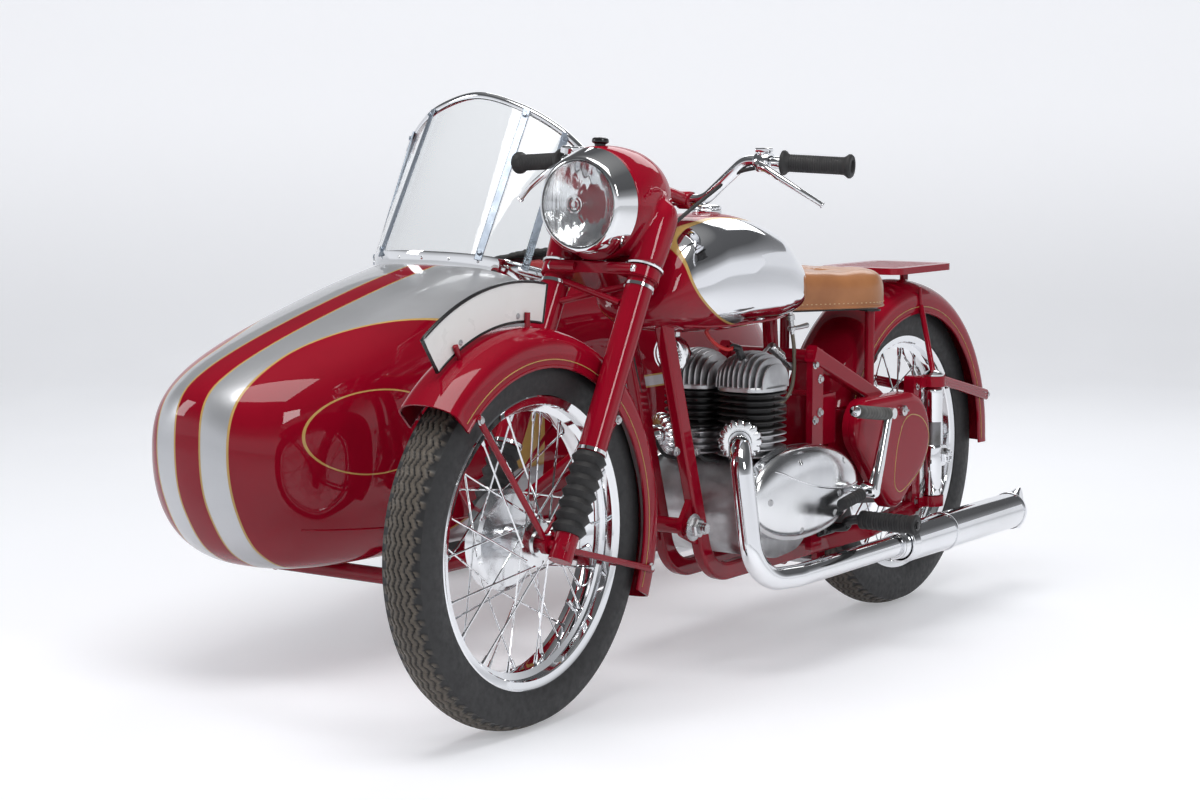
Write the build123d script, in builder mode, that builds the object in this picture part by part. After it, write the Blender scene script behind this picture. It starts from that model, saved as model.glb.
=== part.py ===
from build123d import *
import math
import os

# Sidecar motorcycle with a parallel-twin two-stroke engine, plunger rear springing and a
# single-seat sidecar on its right. Millimetres, +Z up. The outfit faces -Y and its left is +X.

os.makedirs("parts", exist_ok=True)

# Driving dimensions of the machine
wheelbase = 1335.0
rim_seat_r = 240.0
front_tyre_r = rim_seat_r + 85.0
rear_tyre_r = rim_seat_r + 92.0
side_tyre_r = front_tyre_r
front_tyre_half = 44.0
rear_tyre_half = 48.0
rim_half = 35.0
rim_wall = 4.0
rim_lip = 12.0
spoke_r = 2.0
spokes_a_side = 18
lacing_angle = 60.0
axle_r = 9.0
running_gap = 0.1
seat_gap = 0.3
rake = 28.0
leg_half_span = 90.0
leg_offset = 50.0
axle_lead = 10.0
bar_half_width = 372.0
bar_r = 11.0
fender_gap = 43.0
fender_wall = 3.0
front_fender_half = 61.0
rear_fender_half = 75.0
frame_tube = 34.0
frame_tube_width = 24.0
down_tube_x = 42.0
cradle_z = 185.0
cylinder_span = 122.0
cylinder_y = 4.0
exhaust_r = 21.5
silencer_r = 39.0
silencer_x = 190.0
silencer_z = 187.0

# Driving dimensions of the sidecar
track = 1000.0
side_wheel_lead = 227.5
sidecar_x = 360.0 - track
sidecar_half = 240.0
sidecar_low = 196.0
sidecar_nose_y = -811.0
sidecar_tail_y = 1090.0
sidecar_wall = 5.0
sidecar_tube_r = 18.0
side_fender_half = 75.0

# The frame's origin is under the middle of the outfit's box
bike_x = (track + side_fender_half - bar_half_width) / 2
mid_y = (wheelbase / 2 + front_tyre_r - sidecar_tail_y) / 2
front_y = -wheelbase / 2
rear_y = wheelbase / 2
side_wheel_y = rear_y - side_wheel_lead

rake_sin = math.sin(math.radians(rake))
rake_cos = math.cos(math.radians(rake))
fork_offset = leg_offset + axle_lead


# Places and planes: x from the motorcycle's centre plane, y from midway between its axles
def at(x, y, z):
    return (bike_x + x, mid_y + y, z)


def side(x=0.0):
    return Plane(origin=at(x, 0, 0), x_dir=(0, 1, 0), z_dir=(1, 0, 0))


def across(y=0.0):
    return Plane(origin=at(0, y, 0), x_dir=(1, 0, 0), z_dir=(0, -1, 0))


def level(z=0.0):
    return Plane(origin=at(0, 0, z))


def fork_point(x, back, s):
    # back is measured behind the steering axis and s up along it from the front axle's foot
    y = front_y + (fork_offset + back) * rake_cos + s * rake_sin
    z = front_tyre_r - (fork_offset + back) * rake_sin + s * rake_cos
    return at(x, y, z)


def fork_plane(s):
    axis_way = (0, rake_sin, rake_cos)
    return Plane(origin=fork_point(0, 0, s), x_dir=(1, 0, 0), z_dir=axis_way)


def wheel_plane(x, y, z):
    return Plane(origin=at(x, y, z), x_dir=(1, 0, 0), z_dir=(0, -1, 0))


def finish(builder, label):
    builder.part.label = label
    export_step(builder.part, f"parts/{label}.step")


# Shapes used on several pieces
def rod(start, end, radius, mode=Mode.ADD):
    way = Vector(*end) - Vector(*start)
    with BuildSketch(Plane(origin=start, z_dir=way)) as section:
        Circle(radius)
    extrude(to_extrude=section.sketch, amount=way.length, mode=mode)


def tube(points, radius, bend):
    with BuildLine() as route:
        FilletPolyline(*points, radius=bend)
    way = Vector(*points[1]) - Vector(*points[0])
    with BuildSketch(Plane(origin=points[0], z_dir=way)) as section:
        Circle(radius)
    sweep(sections=section.sketch, path=route.line)


def bar(points, width, depth, bend):
    with BuildLine() as route:
        FilletPolyline(*points, radius=bend)
    way = Vector(*points[1]) - Vector(*points[0])
    with BuildSketch(Plane(origin=points[0], x_dir=(1, 0, 0), z_dir=way)) as section:
        RectangleRounded(width, depth, 6)
    sweep(sections=section.sketch, path=route.line)


def rounded_section(plane, half_width, low, high, power, x=0.0):
    # superellipse through points worked out by its formula
    middle = (low + high) / 2
    half_height = (high - low) / 2
    points = []
    for index in range(16):
        turn = math.radians(22.5 * index)
        c, s = math.cos(turn), math.sin(turn)
        across_part = math.copysign(abs(c) ** (2 / power), c)
        up_part = math.copysign(abs(s) ** (2 / power), s)
        points.append((x + half_width * across_part, middle + half_height * up_part))
    with BuildSketch(plane) as section:
        with BuildLine():
            Spline(*points, periodic=True)
        make_face()
    return section.sketch


# Wheels
def make_tyre(label, place, outer_r, half):
    plane = wheel_plane(*place)
    bead_half = rim_half - 6
    lip_r = rim_seat_r + rim_lip + 1
    tread_half = half * 0.7
    shoulder_r = outer_r - 9
    with BuildPart() as tyre:
        with BuildSketch(plane):
            with BuildLine():
                bead = Polyline((-bead_half - 1, lip_r), (-bead_half, rim_seat_r + seat_gap),
                                (bead_half, rim_seat_r + seat_gap), (bead_half + 1, lip_r))
                ThreePointArc(bead @ 1, (half, (lip_r + shoulder_r) / 2 + 3), (tread_half, shoulder_r))
                ThreePointArc((tread_half, shoulder_r), (0, outer_r), (-tread_half, shoulder_r))
                ThreePointArc((-tread_half, shoulder_r), (-half, (lip_r + shoulder_r) / 2 + 3), bead @ 0)
            make_face()
        revolve(axis=Axis(plane.origin, plane.x_dir))
    finish(tyre, label)


def spoke_planes(place, flange_side, flange_x, flange_r):
    planes = []
    pitch = 360 / spokes_a_side
    for index in range(spokes_a_side):
        lead = 1 if index % 2 else -1
        foot = math.radians(pitch * index + (pitch / 2 if flange_side > 0 else 0))
        head = foot + math.radians(lacing_angle) * lead
        foot_r = flange_r - 3
        head_r = rim_seat_r - 14
        x0 = flange_side * flange_x + lead * 3
        x1 = flange_side * 7
        start = at(place[0] + x0, place[1] + foot_r * math.sin(foot), place[2] + foot_r * math.cos(foot))
        end = at(place[0] + x1, place[1] + head_r * math.sin(head), place[2] + head_r * math.cos(head))
        planes.append((Plane(origin=start, z_dir=Vector(*end) - Vector(*start)), math.dist(start, end)))
    return planes


def make_rim(label, place, left_flange, right_flange):
    plane = wheel_plane(*place)
    turn = Axis(plane.origin, plane.x_dir)
    well_r = rim_seat_r - 12
    with BuildPart() as rim:
        with BuildSketch(plane):
            with BuildLine():
                Polyline(
                    (-rim_half, rim_seat_r + rim_lip), (-rim_half + 4, rim_seat_r), (-15, rim_seat_r),
                    (-12, well_r), (12, well_r), (15, rim_seat_r), (rim_half - 4, rim_seat_r),
                    (rim_half, rim_seat_r + rim_lip), (rim_half + 4, rim_seat_r + rim_lip),
                    (rim_half, rim_seat_r - rim_wall), (18, rim_seat_r - rim_wall),
                    (15, well_r - rim_wall), (-15, well_r - rim_wall),
                    (-18, rim_seat_r - rim_wall), (-rim_half, rim_seat_r - rim_wall),
                    (-rim_half - 4, rim_seat_r + rim_lip), close=True)
            make_face()
        revolve(axis=turn)
        for flange_side, (flange_x, flange_r) in ((1, left_flange), (-1, right_flange)):
            laid = spoke_planes(place, flange_side, flange_x, flange_r)
            with BuildSketch(*[spot for spot, length in laid]):
                RegularPolygon(spoke_r, 6)
            extrude(amount=laid[0][1])
        for flange_side, (flange_x, flange_r) in ((1, left_flange), (-1, right_flange)):
            foot_x = place[0] + flange_side * (flange_x - 12)
            end_x = place[0] + flange_side * (flange_x + 12)
            rod(at(foot_x, *place[1:]), at(end_x, *place[1:]), flange_r + seat_gap, Mode.SUBTRACT)
    finish(rim, label)


def make_hub(label, place, profile, sprocket=False):
    plane = wheel_plane(*place)
    with BuildPart() as hub:
        with BuildSketch(plane):
            with BuildLine():
                Polyline(*profile, close=True)
            make_face()
        revolve(axis=Axis(plane.origin, plane.x_dir))
        if sprocket:
            with BuildSketch(side(sprocket_x - 3)) as disc:
                with Locations((place[1], place[2])):
                    Circle(sprocket_r)
                    Circle(axle_r + running_gap, mode=Mode.SUBTRACT)
            extrude(to_extrude=disc.sketch, amount=6)
            with BuildSketch(side(46)) as collar:
                with Locations((place[1], place[2])):
                    Circle(22)
                    Circle(axle_r + running_gap, mode=Mode.SUBTRACT)
            extrude(to_extrude=collar.sketch, amount=sprocket_x - 46)
    finish(hub, label)


front_place = (0, front_y, front_tyre_r)
rear_place = (0, rear_y, rear_tyre_r)
side_place = (-track, side_wheel_y, side_tyre_r)
bore = axle_r + running_gap
drum_r = 88.0
small_flange_r = 42.0
sprocket_x = 56.0
sprocket_r = 92.0
drum_x = 26.0
small_flange_x = 37.0

drum_profile = [
    (-50, bore), (-50, drum_r - 6), (-46, drum_r), (-22, drum_r), (-18, drum_r - 8),
    (-14, 30), (30, 26), (34, small_flange_r), (40, small_flange_r), (43, 24), (48, 22), (48, bore)]

make_tyre("front_tyre", front_place, front_tyre_r, front_tyre_half)
make_rim("front_rim", front_place, (small_flange_x, small_flange_r), (drum_x, drum_r))
make_hub("front_hub", front_place, drum_profile)
make_tyre("rear_tyre", rear_place, rear_tyre_r, rear_tyre_half)
make_rim("rear_rim", rear_place, (small_flange_x, small_flange_r), (drum_x, drum_r))
make_hub("rear_hub", rear_place, drum_profile, sprocket=True)
make_tyre("sidecar_tyre", side_place, side_tyre_r, front_tyre_half)
make_rim("sidecar_rim", side_place, (small_flange_x, small_flange_r), (small_flange_x, small_flange_r))
make_hub("sidecar_hub", side_place, [
    (-48, bore), (-48, 22), (-43, 26), (-40, small_flange_r), (-34, small_flange_r),
    (-30, 26), (30, 26), (34, small_flange_r), (40, small_flange_r), (43, 26), (48, 22), (48, bore)])

# Fork: stations along the steering axis
slider_low_s = -24.0
gaiter_low_s = 24.0
gaiter_high_s = 172.0
yoke_low_s = 498.0
yoke_high_s = 520.0
stem_high_s = 664.0
stanchion_r = 15.0
shroud_r = 25.0
slider_r = 21.0
stem_r = 15.0
head_tube_r = 29.0

with BuildPart() as fork_sliders:
    for leg in (-1, 1):
        rod(fork_point(leg * leg_half_span, -leg_offset, slider_low_s),
            fork_point(leg * leg_half_span, -leg_offset, gaiter_low_s), slider_r)
        rod(fork_point(leg * leg_half_span, -leg_offset, gaiter_low_s),
            fork_point(leg * leg_half_span, -leg_offset, gaiter_high_s + 6), stanchion_r)
    rod(at(-leg_half_span - 18, front_y, front_tyre_r), at(leg_half_span + 18, front_y, front_tyre_r), axle_r)
finish(fork_sliders, "fork_sliders")

gaiter_folds = 7
with BuildPart() as gaiters:
    for leg in (-1, 1):
        foot = Plane(origin=fork_point(leg * leg_half_span, -leg_offset, gaiter_low_s + seat_gap),
                     x_dir=(1, 0, 0), z_dir=(0, -rake_cos, rake_sin))
        height = gaiter_high_s - gaiter_low_s - 2 * seat_gap
        fold = height / gaiter_folds
        ridge_r, groove_r = 31.0, 24.0
        points = [(stanchion_r + seat_gap, 0)]
        for index in range(gaiter_folds):
            points.append((groove_r, fold * index))
            points.append((ridge_r, fold * (index + 0.5)))
        points.append((groove_r, height))
        points.append((stanchion_r + seat_gap, height))
        with BuildSketch(foot):
            with BuildLine():
                Polyline(*points, close=True)
            make_face()
        revolve(axis=Axis(foot.origin, foot.y_dir))
finish(gaiters, "gaiters")

with BuildPart() as fork_shrouds:
    for leg in (-1, 1):
        rod(fork_point(leg * leg_half_span, -leg_offset, gaiter_high_s + seat_gap),
            fork_point(leg * leg_half_span, -leg_offset, yoke_high_s), shroud_r)
    with BuildSketch(fork_plane(yoke_low_s)):
        with Locations((-leg_half_span, -leg_offset), (leg_half_span, -leg_offset)):
            Circle(shroud_r + 5)
        Circle(stem_r + 12)
        make_hull()
    extrude(amount=yoke_high_s - yoke_low_s)
    rod(fork_point(0, 0, yoke_low_s), fork_point(0, 0, stem_high_s), stem_r)
    for leg in (-1, 1):
        rod(fork_point(leg * leg_half_span, -leg_offset, gaiter_high_s - 10),
            fork_point(leg * leg_half_span, -leg_offset, gaiter_high_s + 6 + seat_gap),
            stanchion_r + seat_gap, Mode.SUBTRACT)
finish(fork_shrouds, "fork_shrouds")

# Headlamp: its axis lies level, ahead of the steering head
lamp_z = 895.0
lamp_front_y = -484.0
bell_y = -430.0
lamp_r = 101.0
lens_r = 79.0
nacelle_wall = 4.0
lamp_plane = Plane(origin=at(0, 0, lamp_z), x_dir=(0, 1, 0), z_dir=(1, 0, 0))
lamp_axis = Axis(lamp_plane.origin, lamp_plane.x_dir)
cheek_high_s = 612.0
cheek_r = 30.0
riser_x = 45.0
bar_y = -211.0
bar_z = 896.0

with BuildPart() as nacelle:
    with BuildSketch(lamp_plane):
        with BuildLine():
            crown = Spline((bell_y, lamp_r), (-345, 92), (-255, 0), tangents=((1, 0.12), (0, -1)))
            Line((-255, 0), (bell_y, 0))
            Line((bell_y, 0), crown @ 0)
        make_face()
    revolve(axis=lamp_axis)
    for leg in (-1, 1):
        rod(fork_point(leg * leg_half_span, -leg_offset, yoke_high_s + seat_gap),
            fork_point(leg * leg_half_span, -leg_offset, cheek_high_s), cheek_r)
        with Locations(fork_point(leg * leg_half_span, -leg_offset, cheek_high_s)):
            Sphere(cheek_r)
    with BuildSketch(lamp_plane):
        with BuildLine():
            crown = Spline((bell_y, lamp_r - nacelle_wall), (-345, 92 - nacelle_wall),
                           (-255 - nacelle_wall, 0), tangents=((1, 0.12), (0, -1)))
            Line((-255 - nacelle_wall, 0), (bell_y, 0))
            Line((bell_y, 0), crown @ 0)
        make_face()
    revolve(axis=lamp_axis, mode=Mode.SUBTRACT)
    rod(fork_point(0, 0, yoke_high_s), fork_point(0, 0, stem_high_s + 10), head_tube_r + 6, Mode.SUBTRACT)
    with BuildSketch(level(lamp_z - 120)) as rear_cut:
        with Locations((0, -240)):
            Rectangle(240, 190)
    extrude(to_extrude=rear_cut.sketch, amount=98, mode=Mode.SUBTRACT)
    for leg in (-1, 1):
        rod(fork_point(leg * leg_half_span, -leg_offset, yoke_low_s),
            fork_point(leg * leg_half_span, -leg_offset, yoke_high_s + seat_gap), shroud_r + 6, Mode.SUBTRACT)
    for arm in (-1, 1):
        rod(at(arm * 44, -300, lamp_z + 20), at(arm * riser_x, bar_y, bar_z), 12)
        rod(at(arm * riser_x - 13, bar_y, bar_z), at(arm * riser_x + 13, bar_y, bar_z), bar_r + 5)
        rod(at(arm * riser_x - 20, bar_y, bar_z), at(arm * riser_x + 20, bar_y, bar_z),
            bar_r + running_gap, Mode.SUBTRACT)
finish(nacelle, "nacelle")

with BuildPart() as lamp_rim:
    with BuildSketch(lamp_plane):
        with BuildLine():
            lip = Line((lamp_front_y, lens_r - 3), (lamp_front_y, lens_r + 6))
            bell = ThreePointArc(lip @ 1, (lamp_front_y + 18, lamp_r - 5), (bell_y - seat_gap, lamp_r))
            back = Polyline(bell @ 1, (bell_y - seat_gap, 0), (lamp_front_y + 38, 0))
            ThreePointArc(back @ 1, (lamp_front_y + 26, 52), lip @ 0)
        make_face()
    revolve(axis=lamp_axis)
    for leg in (-1, 1):
        rod(fork_point(leg * leg_half_span, -leg_offset, yoke_low_s),
            fork_point(leg * leg_half_span, -leg_offset, cheek_high_s), cheek_r + 1, Mode.SUBTRACT)
finish(lamp_rim, "headlamp_rim")

lens_bulge = 15.0
with BuildPart() as lens:
    ball_r = (lens_r ** 2 + lens_bulge ** 2) / (2 * lens_bulge)
    with Locations(at(0, lamp_front_y - seat_gap - lens_bulge + ball_r, lamp_z)):
        Sphere(ball_r)
    with BuildSketch(across(lamp_front_y - seat_gap)) as window:
        with Locations((0, lamp_z)):
            Circle(lens_r)
    extrude(to_extrude=window.sketch, amount=lens_bulge + 1, mode=Mode.INTERSECT)
finish(lens, "headlamp_lens")

# Handlebar
grip_inner_x = 240.0
bar_points = [
    at(-bar_half_width + 9, -170, 960), at(-grip_inner_x + 5, -198, 966), at(-165, -200, 968),
    at(-85, bar_y, bar_z), at(85, bar_y, bar_z), at(165, -200, 968), at(grip_inner_x - 5, -198, 966),
    at(bar_half_width - 9, -170, 960)]
with BuildPart() as handlebar:
    with BuildLine() as bar_route:
        FilletPolyline(*bar_points, radius=[40, 40, 40, 40, 40, 40])
    way = Vector(*bar_points[1]) - Vector(*bar_points[0])
    with BuildSketch(Plane(origin=bar_points[0], z_dir=way)) as bar_section:
        Circle(bar_r)
    sweep(sections=bar_section.sketch, path=bar_route.line)
finish(handlebar, "handlebar")

grip_r = 16.0
grip_end_x = bar_half_width - 3.5
with BuildPart() as grips:
    for hand in (-1, 1):
        inner = at(hand * grip_inner_x, -197, 965.8)
        outer = at(hand * grip_end_x, -169, 959.8)
        rod(inner, outer, grip_r)
        collar = Vector(*inner) + (Vector(*outer) - Vector(*inner)).normalized() * 8
        rod(inner, tuple(collar), grip_r + 5)
        bore_start = Vector(*inner) - (Vector(*outer) - Vector(*inner)).normalized() * 5
        rod(tuple(bore_start), at(hand * (grip_end_x - 4.7), -170, 960), bar_r + seat_gap, Mode.SUBTRACT)
finish(grips, "grips")

with BuildPart() as hand_levers:
    for hand in (-1, 1):
        with BuildSketch(side(hand * 205 - 12)) as clamp:
            with Locations((-199, 967)):
                Circle(bar_r + 6)
                Circle(bar_r + seat_gap + 1, mode=Mode.SUBTRACT)
        extrude(to_extrude=clamp.sketch, amount=24)
        tube([at(hand * 205, -222, 962), at(hand * 250, -240, 945), at(hand * 330, -212, 892)], 6, 40)
        rod(at(hand * 205, -214, 965), at(hand * 205, -228, 960), 9)
finish(hand_levers, "hand_levers")

# Front fender
front_fender_r = front_tyre_r + fender_gap


def fender_section(plane, outer_r, half, depth, wall):
    # an open channel, rounded on top, drawn above a wheel's centre
    with BuildSketch(plane) as section:
        with BuildLine():
            skirt = Line((-half, outer_r - depth), (-half, outer_r - half * 0.55))
            crown = ThreePointArc(skirt @ 1, (0, outer_r), (half, outer_r - half * 0.55))
            far = Line(crown @ 1, (half, outer_r - depth))
            turn_in = Line(far @ 1, (half - wall, outer_r - depth))
            rise = Line(turn_in @ 1, (half - wall, outer_r - half * 0.55 - wall * 0.3))
            under = ThreePointArc(rise @ 1, (0, outer_r - wall), (wall - half, outer_r - half * 0.55 - wall * 0.3))
            fall = Line(under @ 1, (wall - half, outer_r - depth))
            Line(fall @ 1, skirt @ 0)
        make_face()
    return section.sketch


def sweep_fender(place, outer_r, half, depth, wall, front_angle, rear_angle):
    # angles from straight above the axle, front first
    turned = Plane(origin=at(*place), x_dir=(1, 0, 0), z_dir=(0, -1, 0)).rotated((front_angle, 0, 0))
    section = fender_section(turned, outer_r, half, depth, wall)
    revolve(profiles=section, axis=Axis(at(*place), (-1, 0, 0)), revolution_arc=front_angle + rear_angle)


def on_wheel(place, radius, angle):
    # y and z of a point on a circle about a wheel, its angle from straight up towards the front
    turn = math.radians(angle)
    return place[1] - radius * math.sin(turn), place[2] + radius * math.cos(turn)


plate_half = 2.0
plate_low_r = front_fender_r + 8
plate_bracket_x = plate_half + seat_gap + 5
with BuildPart() as front_fender:
    sweep_fender(front_place, front_fender_r, front_fender_half, 62, fender_wall, 45, 114)
    stay_x = leg_half_span - slider_r - seat_gap - 6
    for hand in (-1, 1):
        rod(at(hand * stay_x, front_y, front_tyre_r), at(hand * stay_x, -858, 562), 6)
        rod(at(hand * stay_x, front_y, front_tyre_r), at(hand * stay_x, -345, 232), 6)
        rod(at(hand * (stay_x - 6), front_y, front_tyre_r), at(hand * (stay_x + 6), front_y, front_tyre_r), 17)
    for angle in (27, -3):
        rod(at(plate_bracket_x, *on_wheel(front_place, front_fender_r - 2, angle)),
            at(plate_bracket_x, *on_wheel(front_place, plate_low_r + 16, angle)), 5)
    rod(at(-leg_half_span, front_y, front_tyre_r), at(leg_half_span, front_y, front_tyre_r),
        axle_r + running_gap, Mode.SUBTRACT)
finish(front_fender, "front_fender")

# Number plate, edge-on to the road along the front fender
plate_high_r = front_fender_r + 76
plate_front, plate_rear = 35.0, -11.0
with BuildPart() as number_plate:
    with BuildSketch(side(-plate_half)):
        with BuildLine():
            middle = (plate_front + plate_rear) / 2
            low = ThreePointArc(on_wheel(front_place, plate_low_r, plate_front),
                                on_wheel(front_place, plate_low_r, middle),
                                on_wheel(front_place, plate_low_r, plate_rear))
            high = ThreePointArc(on_wheel(front_place, plate_high_r, plate_rear),
                                 on_wheel(front_place, plate_high_r, middle),
                                 on_wheel(front_place, plate_high_r, plate_front))
            Line(low @ 1, high @ 0)
            Line(high @ 1, low @ 0)
        make_face()
    extrude(amount=2 * plate_half)
finish(number_plate, "number_plate")

# Main frame
stand_y = 300.0
stand_z = 150.0
stand_pin_r = 9.0
post_x = 100.0
rail_width = 24.0
top_tube_width = 36.0
seat_post_y = 190.0
plunger_x = 124.0
plunger_y = 642.0
plunger_r = 21.0
bracket_y = 594.0
coupling_x, coupling_y, coupling_z = 62.0, -205.0, 290.0
with BuildPart() as frame:
    for hand in (-1, 1):
        bar([at(hand * down_tube_x, -292, 715), at(hand * down_tube_x, -128, cradle_z),
             at(hand * down_tube_x, 330, cradle_z)], frame_tube_width, frame_tube, 90)
        bar([at(hand * post_x, 160, 588), at(hand * post_x, 420, 480), at(hand * post_x, bracket_y, 380)],
            rail_width, frame_tube, 200)
        bar([at(hand * down_tube_x, 326, cradle_z), at(hand * post_x, 400, 205),
             at(hand * post_x, bracket_y, 226)], rail_width, frame_tube, 40)
        with BuildSketch(side(hand * post_x - 7)) as plate:
            with Locations((177, 395)):
                RectangleRounded(42, 400, 8)
        extrude(to_extrude=plate.sketch, amount=14)
        with BuildSketch(side(hand * post_x - rail_width / 2)) as bracket:
            with Locations((bracket_y, 362)):
                RectangleRounded(34, 290, 8)
        extrude(to_extrude=bracket.sketch, amount=rail_width)
        for lug_z in (226, 482):
            rod(at(hand * plunger_x, plunger_y, lug_z), at(hand * plunger_x, plunger_y, lug_z + 22), plunger_r + 5)
            with BuildSketch(level(lug_z)) as arm:
                with Locations((hand * (post_x + 8), (bracket_y + plunger_y) / 2)):
                    Rectangle(28, plunger_y - bracket_y + 8)
            extrude(to_extrude=arm.sketch, amount=22)
        rod(at(hand * post_x, 400, 495), at(hand * post_x, 400, 671.5), 10)
        with BuildSketch(side(hand * down_tube_x - 6)) as lug:
            with Locations((stand_y, stand_z)):
                Circle(17)
            with Locations((stand_y, cradle_z)):
                Circle(15)
            make_hull()
            with Locations((stand_y, stand_z)):
                Circle(stand_pin_r + running_gap, mode=Mode.SUBTRACT)
        extrude(to_extrude=lug.sketch, amount=12)
    rod(fork_point(0, 0, yoke_high_s + 0.5), fork_point(0, 0, 640), head_tube_r)
    bar([at(0, -290, 752), at(0, -150, 705), at(0, 186, 690)], top_tube_width, 44, 100)
    with BuildSketch(side(-down_tube_x - frame_tube_width / 2)) as gusset:
        with BuildLine():
            Polyline((-345.3, 760.7), (-306.4, 740), (-310, 700), (-268, 700), (-225, 740), (-330.7, 788), close=True)
        make_face()
    extrude(to_extrude=gusset.sketch, amount=2 * down_tube_x + frame_tube_width)
    for hand in (-1, 1):
        with BuildSketch(side(hand * down_tube_x - 5)) as bracket:
            with Locations((coupling_y, coupling_z)):
                Circle(21)
            with Locations((-176, 350), (-146, 250)):
                Circle(8)
            make_hull()
        extrude(to_extrude=bracket.sketch, amount=10)
    rod(at(-coupling_x, coupling_y, coupling_z), at(coupling_x, coupling_y, coupling_z), 15)
    rod(at(0, 165, 690), at(0, 177, 580), 15)
    rod(at(-post_x, 177, 580), at(post_x, 177, 580), 14)
    rod(at(-post_x, 177, 212), at(post_x, 177, 212), 12)
    rod(fork_point(0, 0, yoke_high_s - 5), fork_point(0, 0, 650), stem_r + running_gap, Mode.SUBTRACT)
finish(frame, "frame")

with BuildPart() as plungers:
    for hand in (-1, 1):
        rod(at(hand * plunger_x, plunger_y, 226 + 22 + seat_gap),
            at(hand * plunger_x, plunger_y, 482 - seat_gap), plunger_r)
        with BuildSketch(side(hand * plunger_x - 14)) as lug:
            with Locations((plunger_y, rear_tyre_r)):
                Circle(26)
            with Locations((rear_y, rear_tyre_r)):
                Circle(20)
            make_hull()
        extrude(to_extrude=lug.sketch, amount=28)
    rod(at(-plunger_x - 26, rear_y, rear_tyre_r), at(plunger_x + 26, rear_y, rear_tyre_r), axle_r)
finish(plungers, "rear_plungers")

# Engine
case_half = 119.5
cover_out_x = 170.0
shaft_in_x = 150.0
kick_y, kick_z, kick_r = 233.0, 317.0, 9.0
gear_r = 7.0
gearbox_x = 40.0
gearbox_out = 92.7
with BuildPart() as crankcase:
    with BuildSketch(side(-case_half)) as case:
        with Locations((2, 303)):
            Circle(95)
        with Locations((50, 300)):
            Circle(88)
        make_hull()
    extrude(to_extrude=case.sketch, amount=2 * case_half)
    with BuildSketch(side(-gearbox_out)) as box:
        with Locations((60, 300)):
            Circle(80)
        with Locations((165, 290)):
            Circle(60)
        make_hull()
    extrude(to_extrude=box.sketch, amount=gearbox_out + gearbox_x)
finish(crankcase, "crankcase")

with BuildPart() as covers:
    with BuildSketch(side(case_half + seat_gap)) as left_cover:
        with Locations((-34, 330)):
            Circle(92)
        with Locations((205, 322)):
            Circle(64)
        make_hull()
    extrude(to_extrude=left_cover.sketch, amount=cover_out_x - case_half)
    fillet(covers.faces().sort_by(Axis.X)[-1].edges(), 38)
    with BuildSketch(side(-case_half - seat_gap - 52)) as right_cover:
        with Locations((-20, 322)):
            Circle(86)
        with Locations((150, 312)):
            Circle(60)
        make_hull()
    extrude(to_extrude=right_cover.sketch, amount=52)
    fillet(covers.faces().sort_by(Axis.X)[0].edges(), 30)
    rod(at(shaft_in_x, kick_y, kick_z), at(cover_out_x + 2, kick_y, kick_z), kick_r + seat_gap, Mode.SUBTRACT)
finish(covers, "engine_covers")

port_z = 443.0


def port(hand):
    return at(hand * 80, -72, port_z)


def pipe_bend(hand):
    return at(hand * 130, -154, port_z - 14)


barrel_low = 399.0
barrel_high = 528.0
fin_length = 128.0
fin_width = 116.0
fin_corner = 44.0
fin_pitch = 13.0
with BuildPart() as cylinders:
    for hand in (-1, 1):
        port_way = (Vector(*pipe_bend(hand)) - Vector(*port(hand))).normalized()
        rod(tuple(Vector(*port(hand)) - port_way * 55), tuple(Vector(*port(hand)) - port_way * seat_gap), 24)
        rod(at(hand * cylinder_span / 2, cylinder_y, barrel_low), at(hand * cylinder_span / 2, cylinder_y, barrel_high), 40)
        for index in range(10):
            with BuildSketch(level(barrel_low + 6 + fin_pitch * index)) as fin:
                with Locations((hand * cylinder_span / 2, cylinder_y)):
                    RectangleRounded(fin_width, fin_length, fin_corner)
            extrude(to_extrude=fin.sketch, amount=4)
finish(cylinders, "cylinders")

head_fins = 9
head_high = 604.0
with BuildPart() as heads:
    for hand in (-1, 1):
        with BuildSketch(level(barrel_high + seat_gap)) as flange:
            with Locations((hand * cylinder_span / 2, cylinder_y)):
                RectangleRounded(fin_width, fin_length, fin_corner)
        extrude(to_extrude=flange.sketch, amount=10)
        rod(at(hand * cylinder_span / 2, cylinder_y, barrel_high + 5), at(hand * cylinder_span / 2, cylinder_y, 572), 38)
        for index in range(head_fins):
            place = (index - (head_fins - 1) / 2) * 12
            reach = math.sqrt(1 - (place / (fin_width / 2 + 6)) ** 2)
            with BuildSketch(side(hand * cylinder_span / 2 + place - 2)) as fin:
                with BuildLine():
                    half = fin_length / 2 * (0.55 + 0.45 * reach)
                    foot = Line((cylinder_y - half, barrel_high + 6), (cylinder_y + half, barrel_high + 6))
                    top = barrel_high + 6 + (head_high - barrel_high - 6) * (0.35 + 0.65 * reach)
                    ThreePointArc(foot @ 1, (cylinder_y, top), foot @ 0)
                make_face()
            extrude(to_extrude=fin.sketch, amount=4)
finish(heads, "cylinder_heads")

with BuildPart() as carburettor:
    rod(at(0, 108, 430), at(0, 108, 520), 24)
    rod(at(0, 86, 470), at(0, 150, 470), 19)
    rod(at(0, 150, 470), at(0, 182, 470), 34)
    manifold_y = cylinder_y + fin_length / 2 + 16 + seat_gap
    rod(at(-62, manifold_y, 470), at(62, manifold_y, 470), 16)
finish(carburettor, "carburettor")

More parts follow.
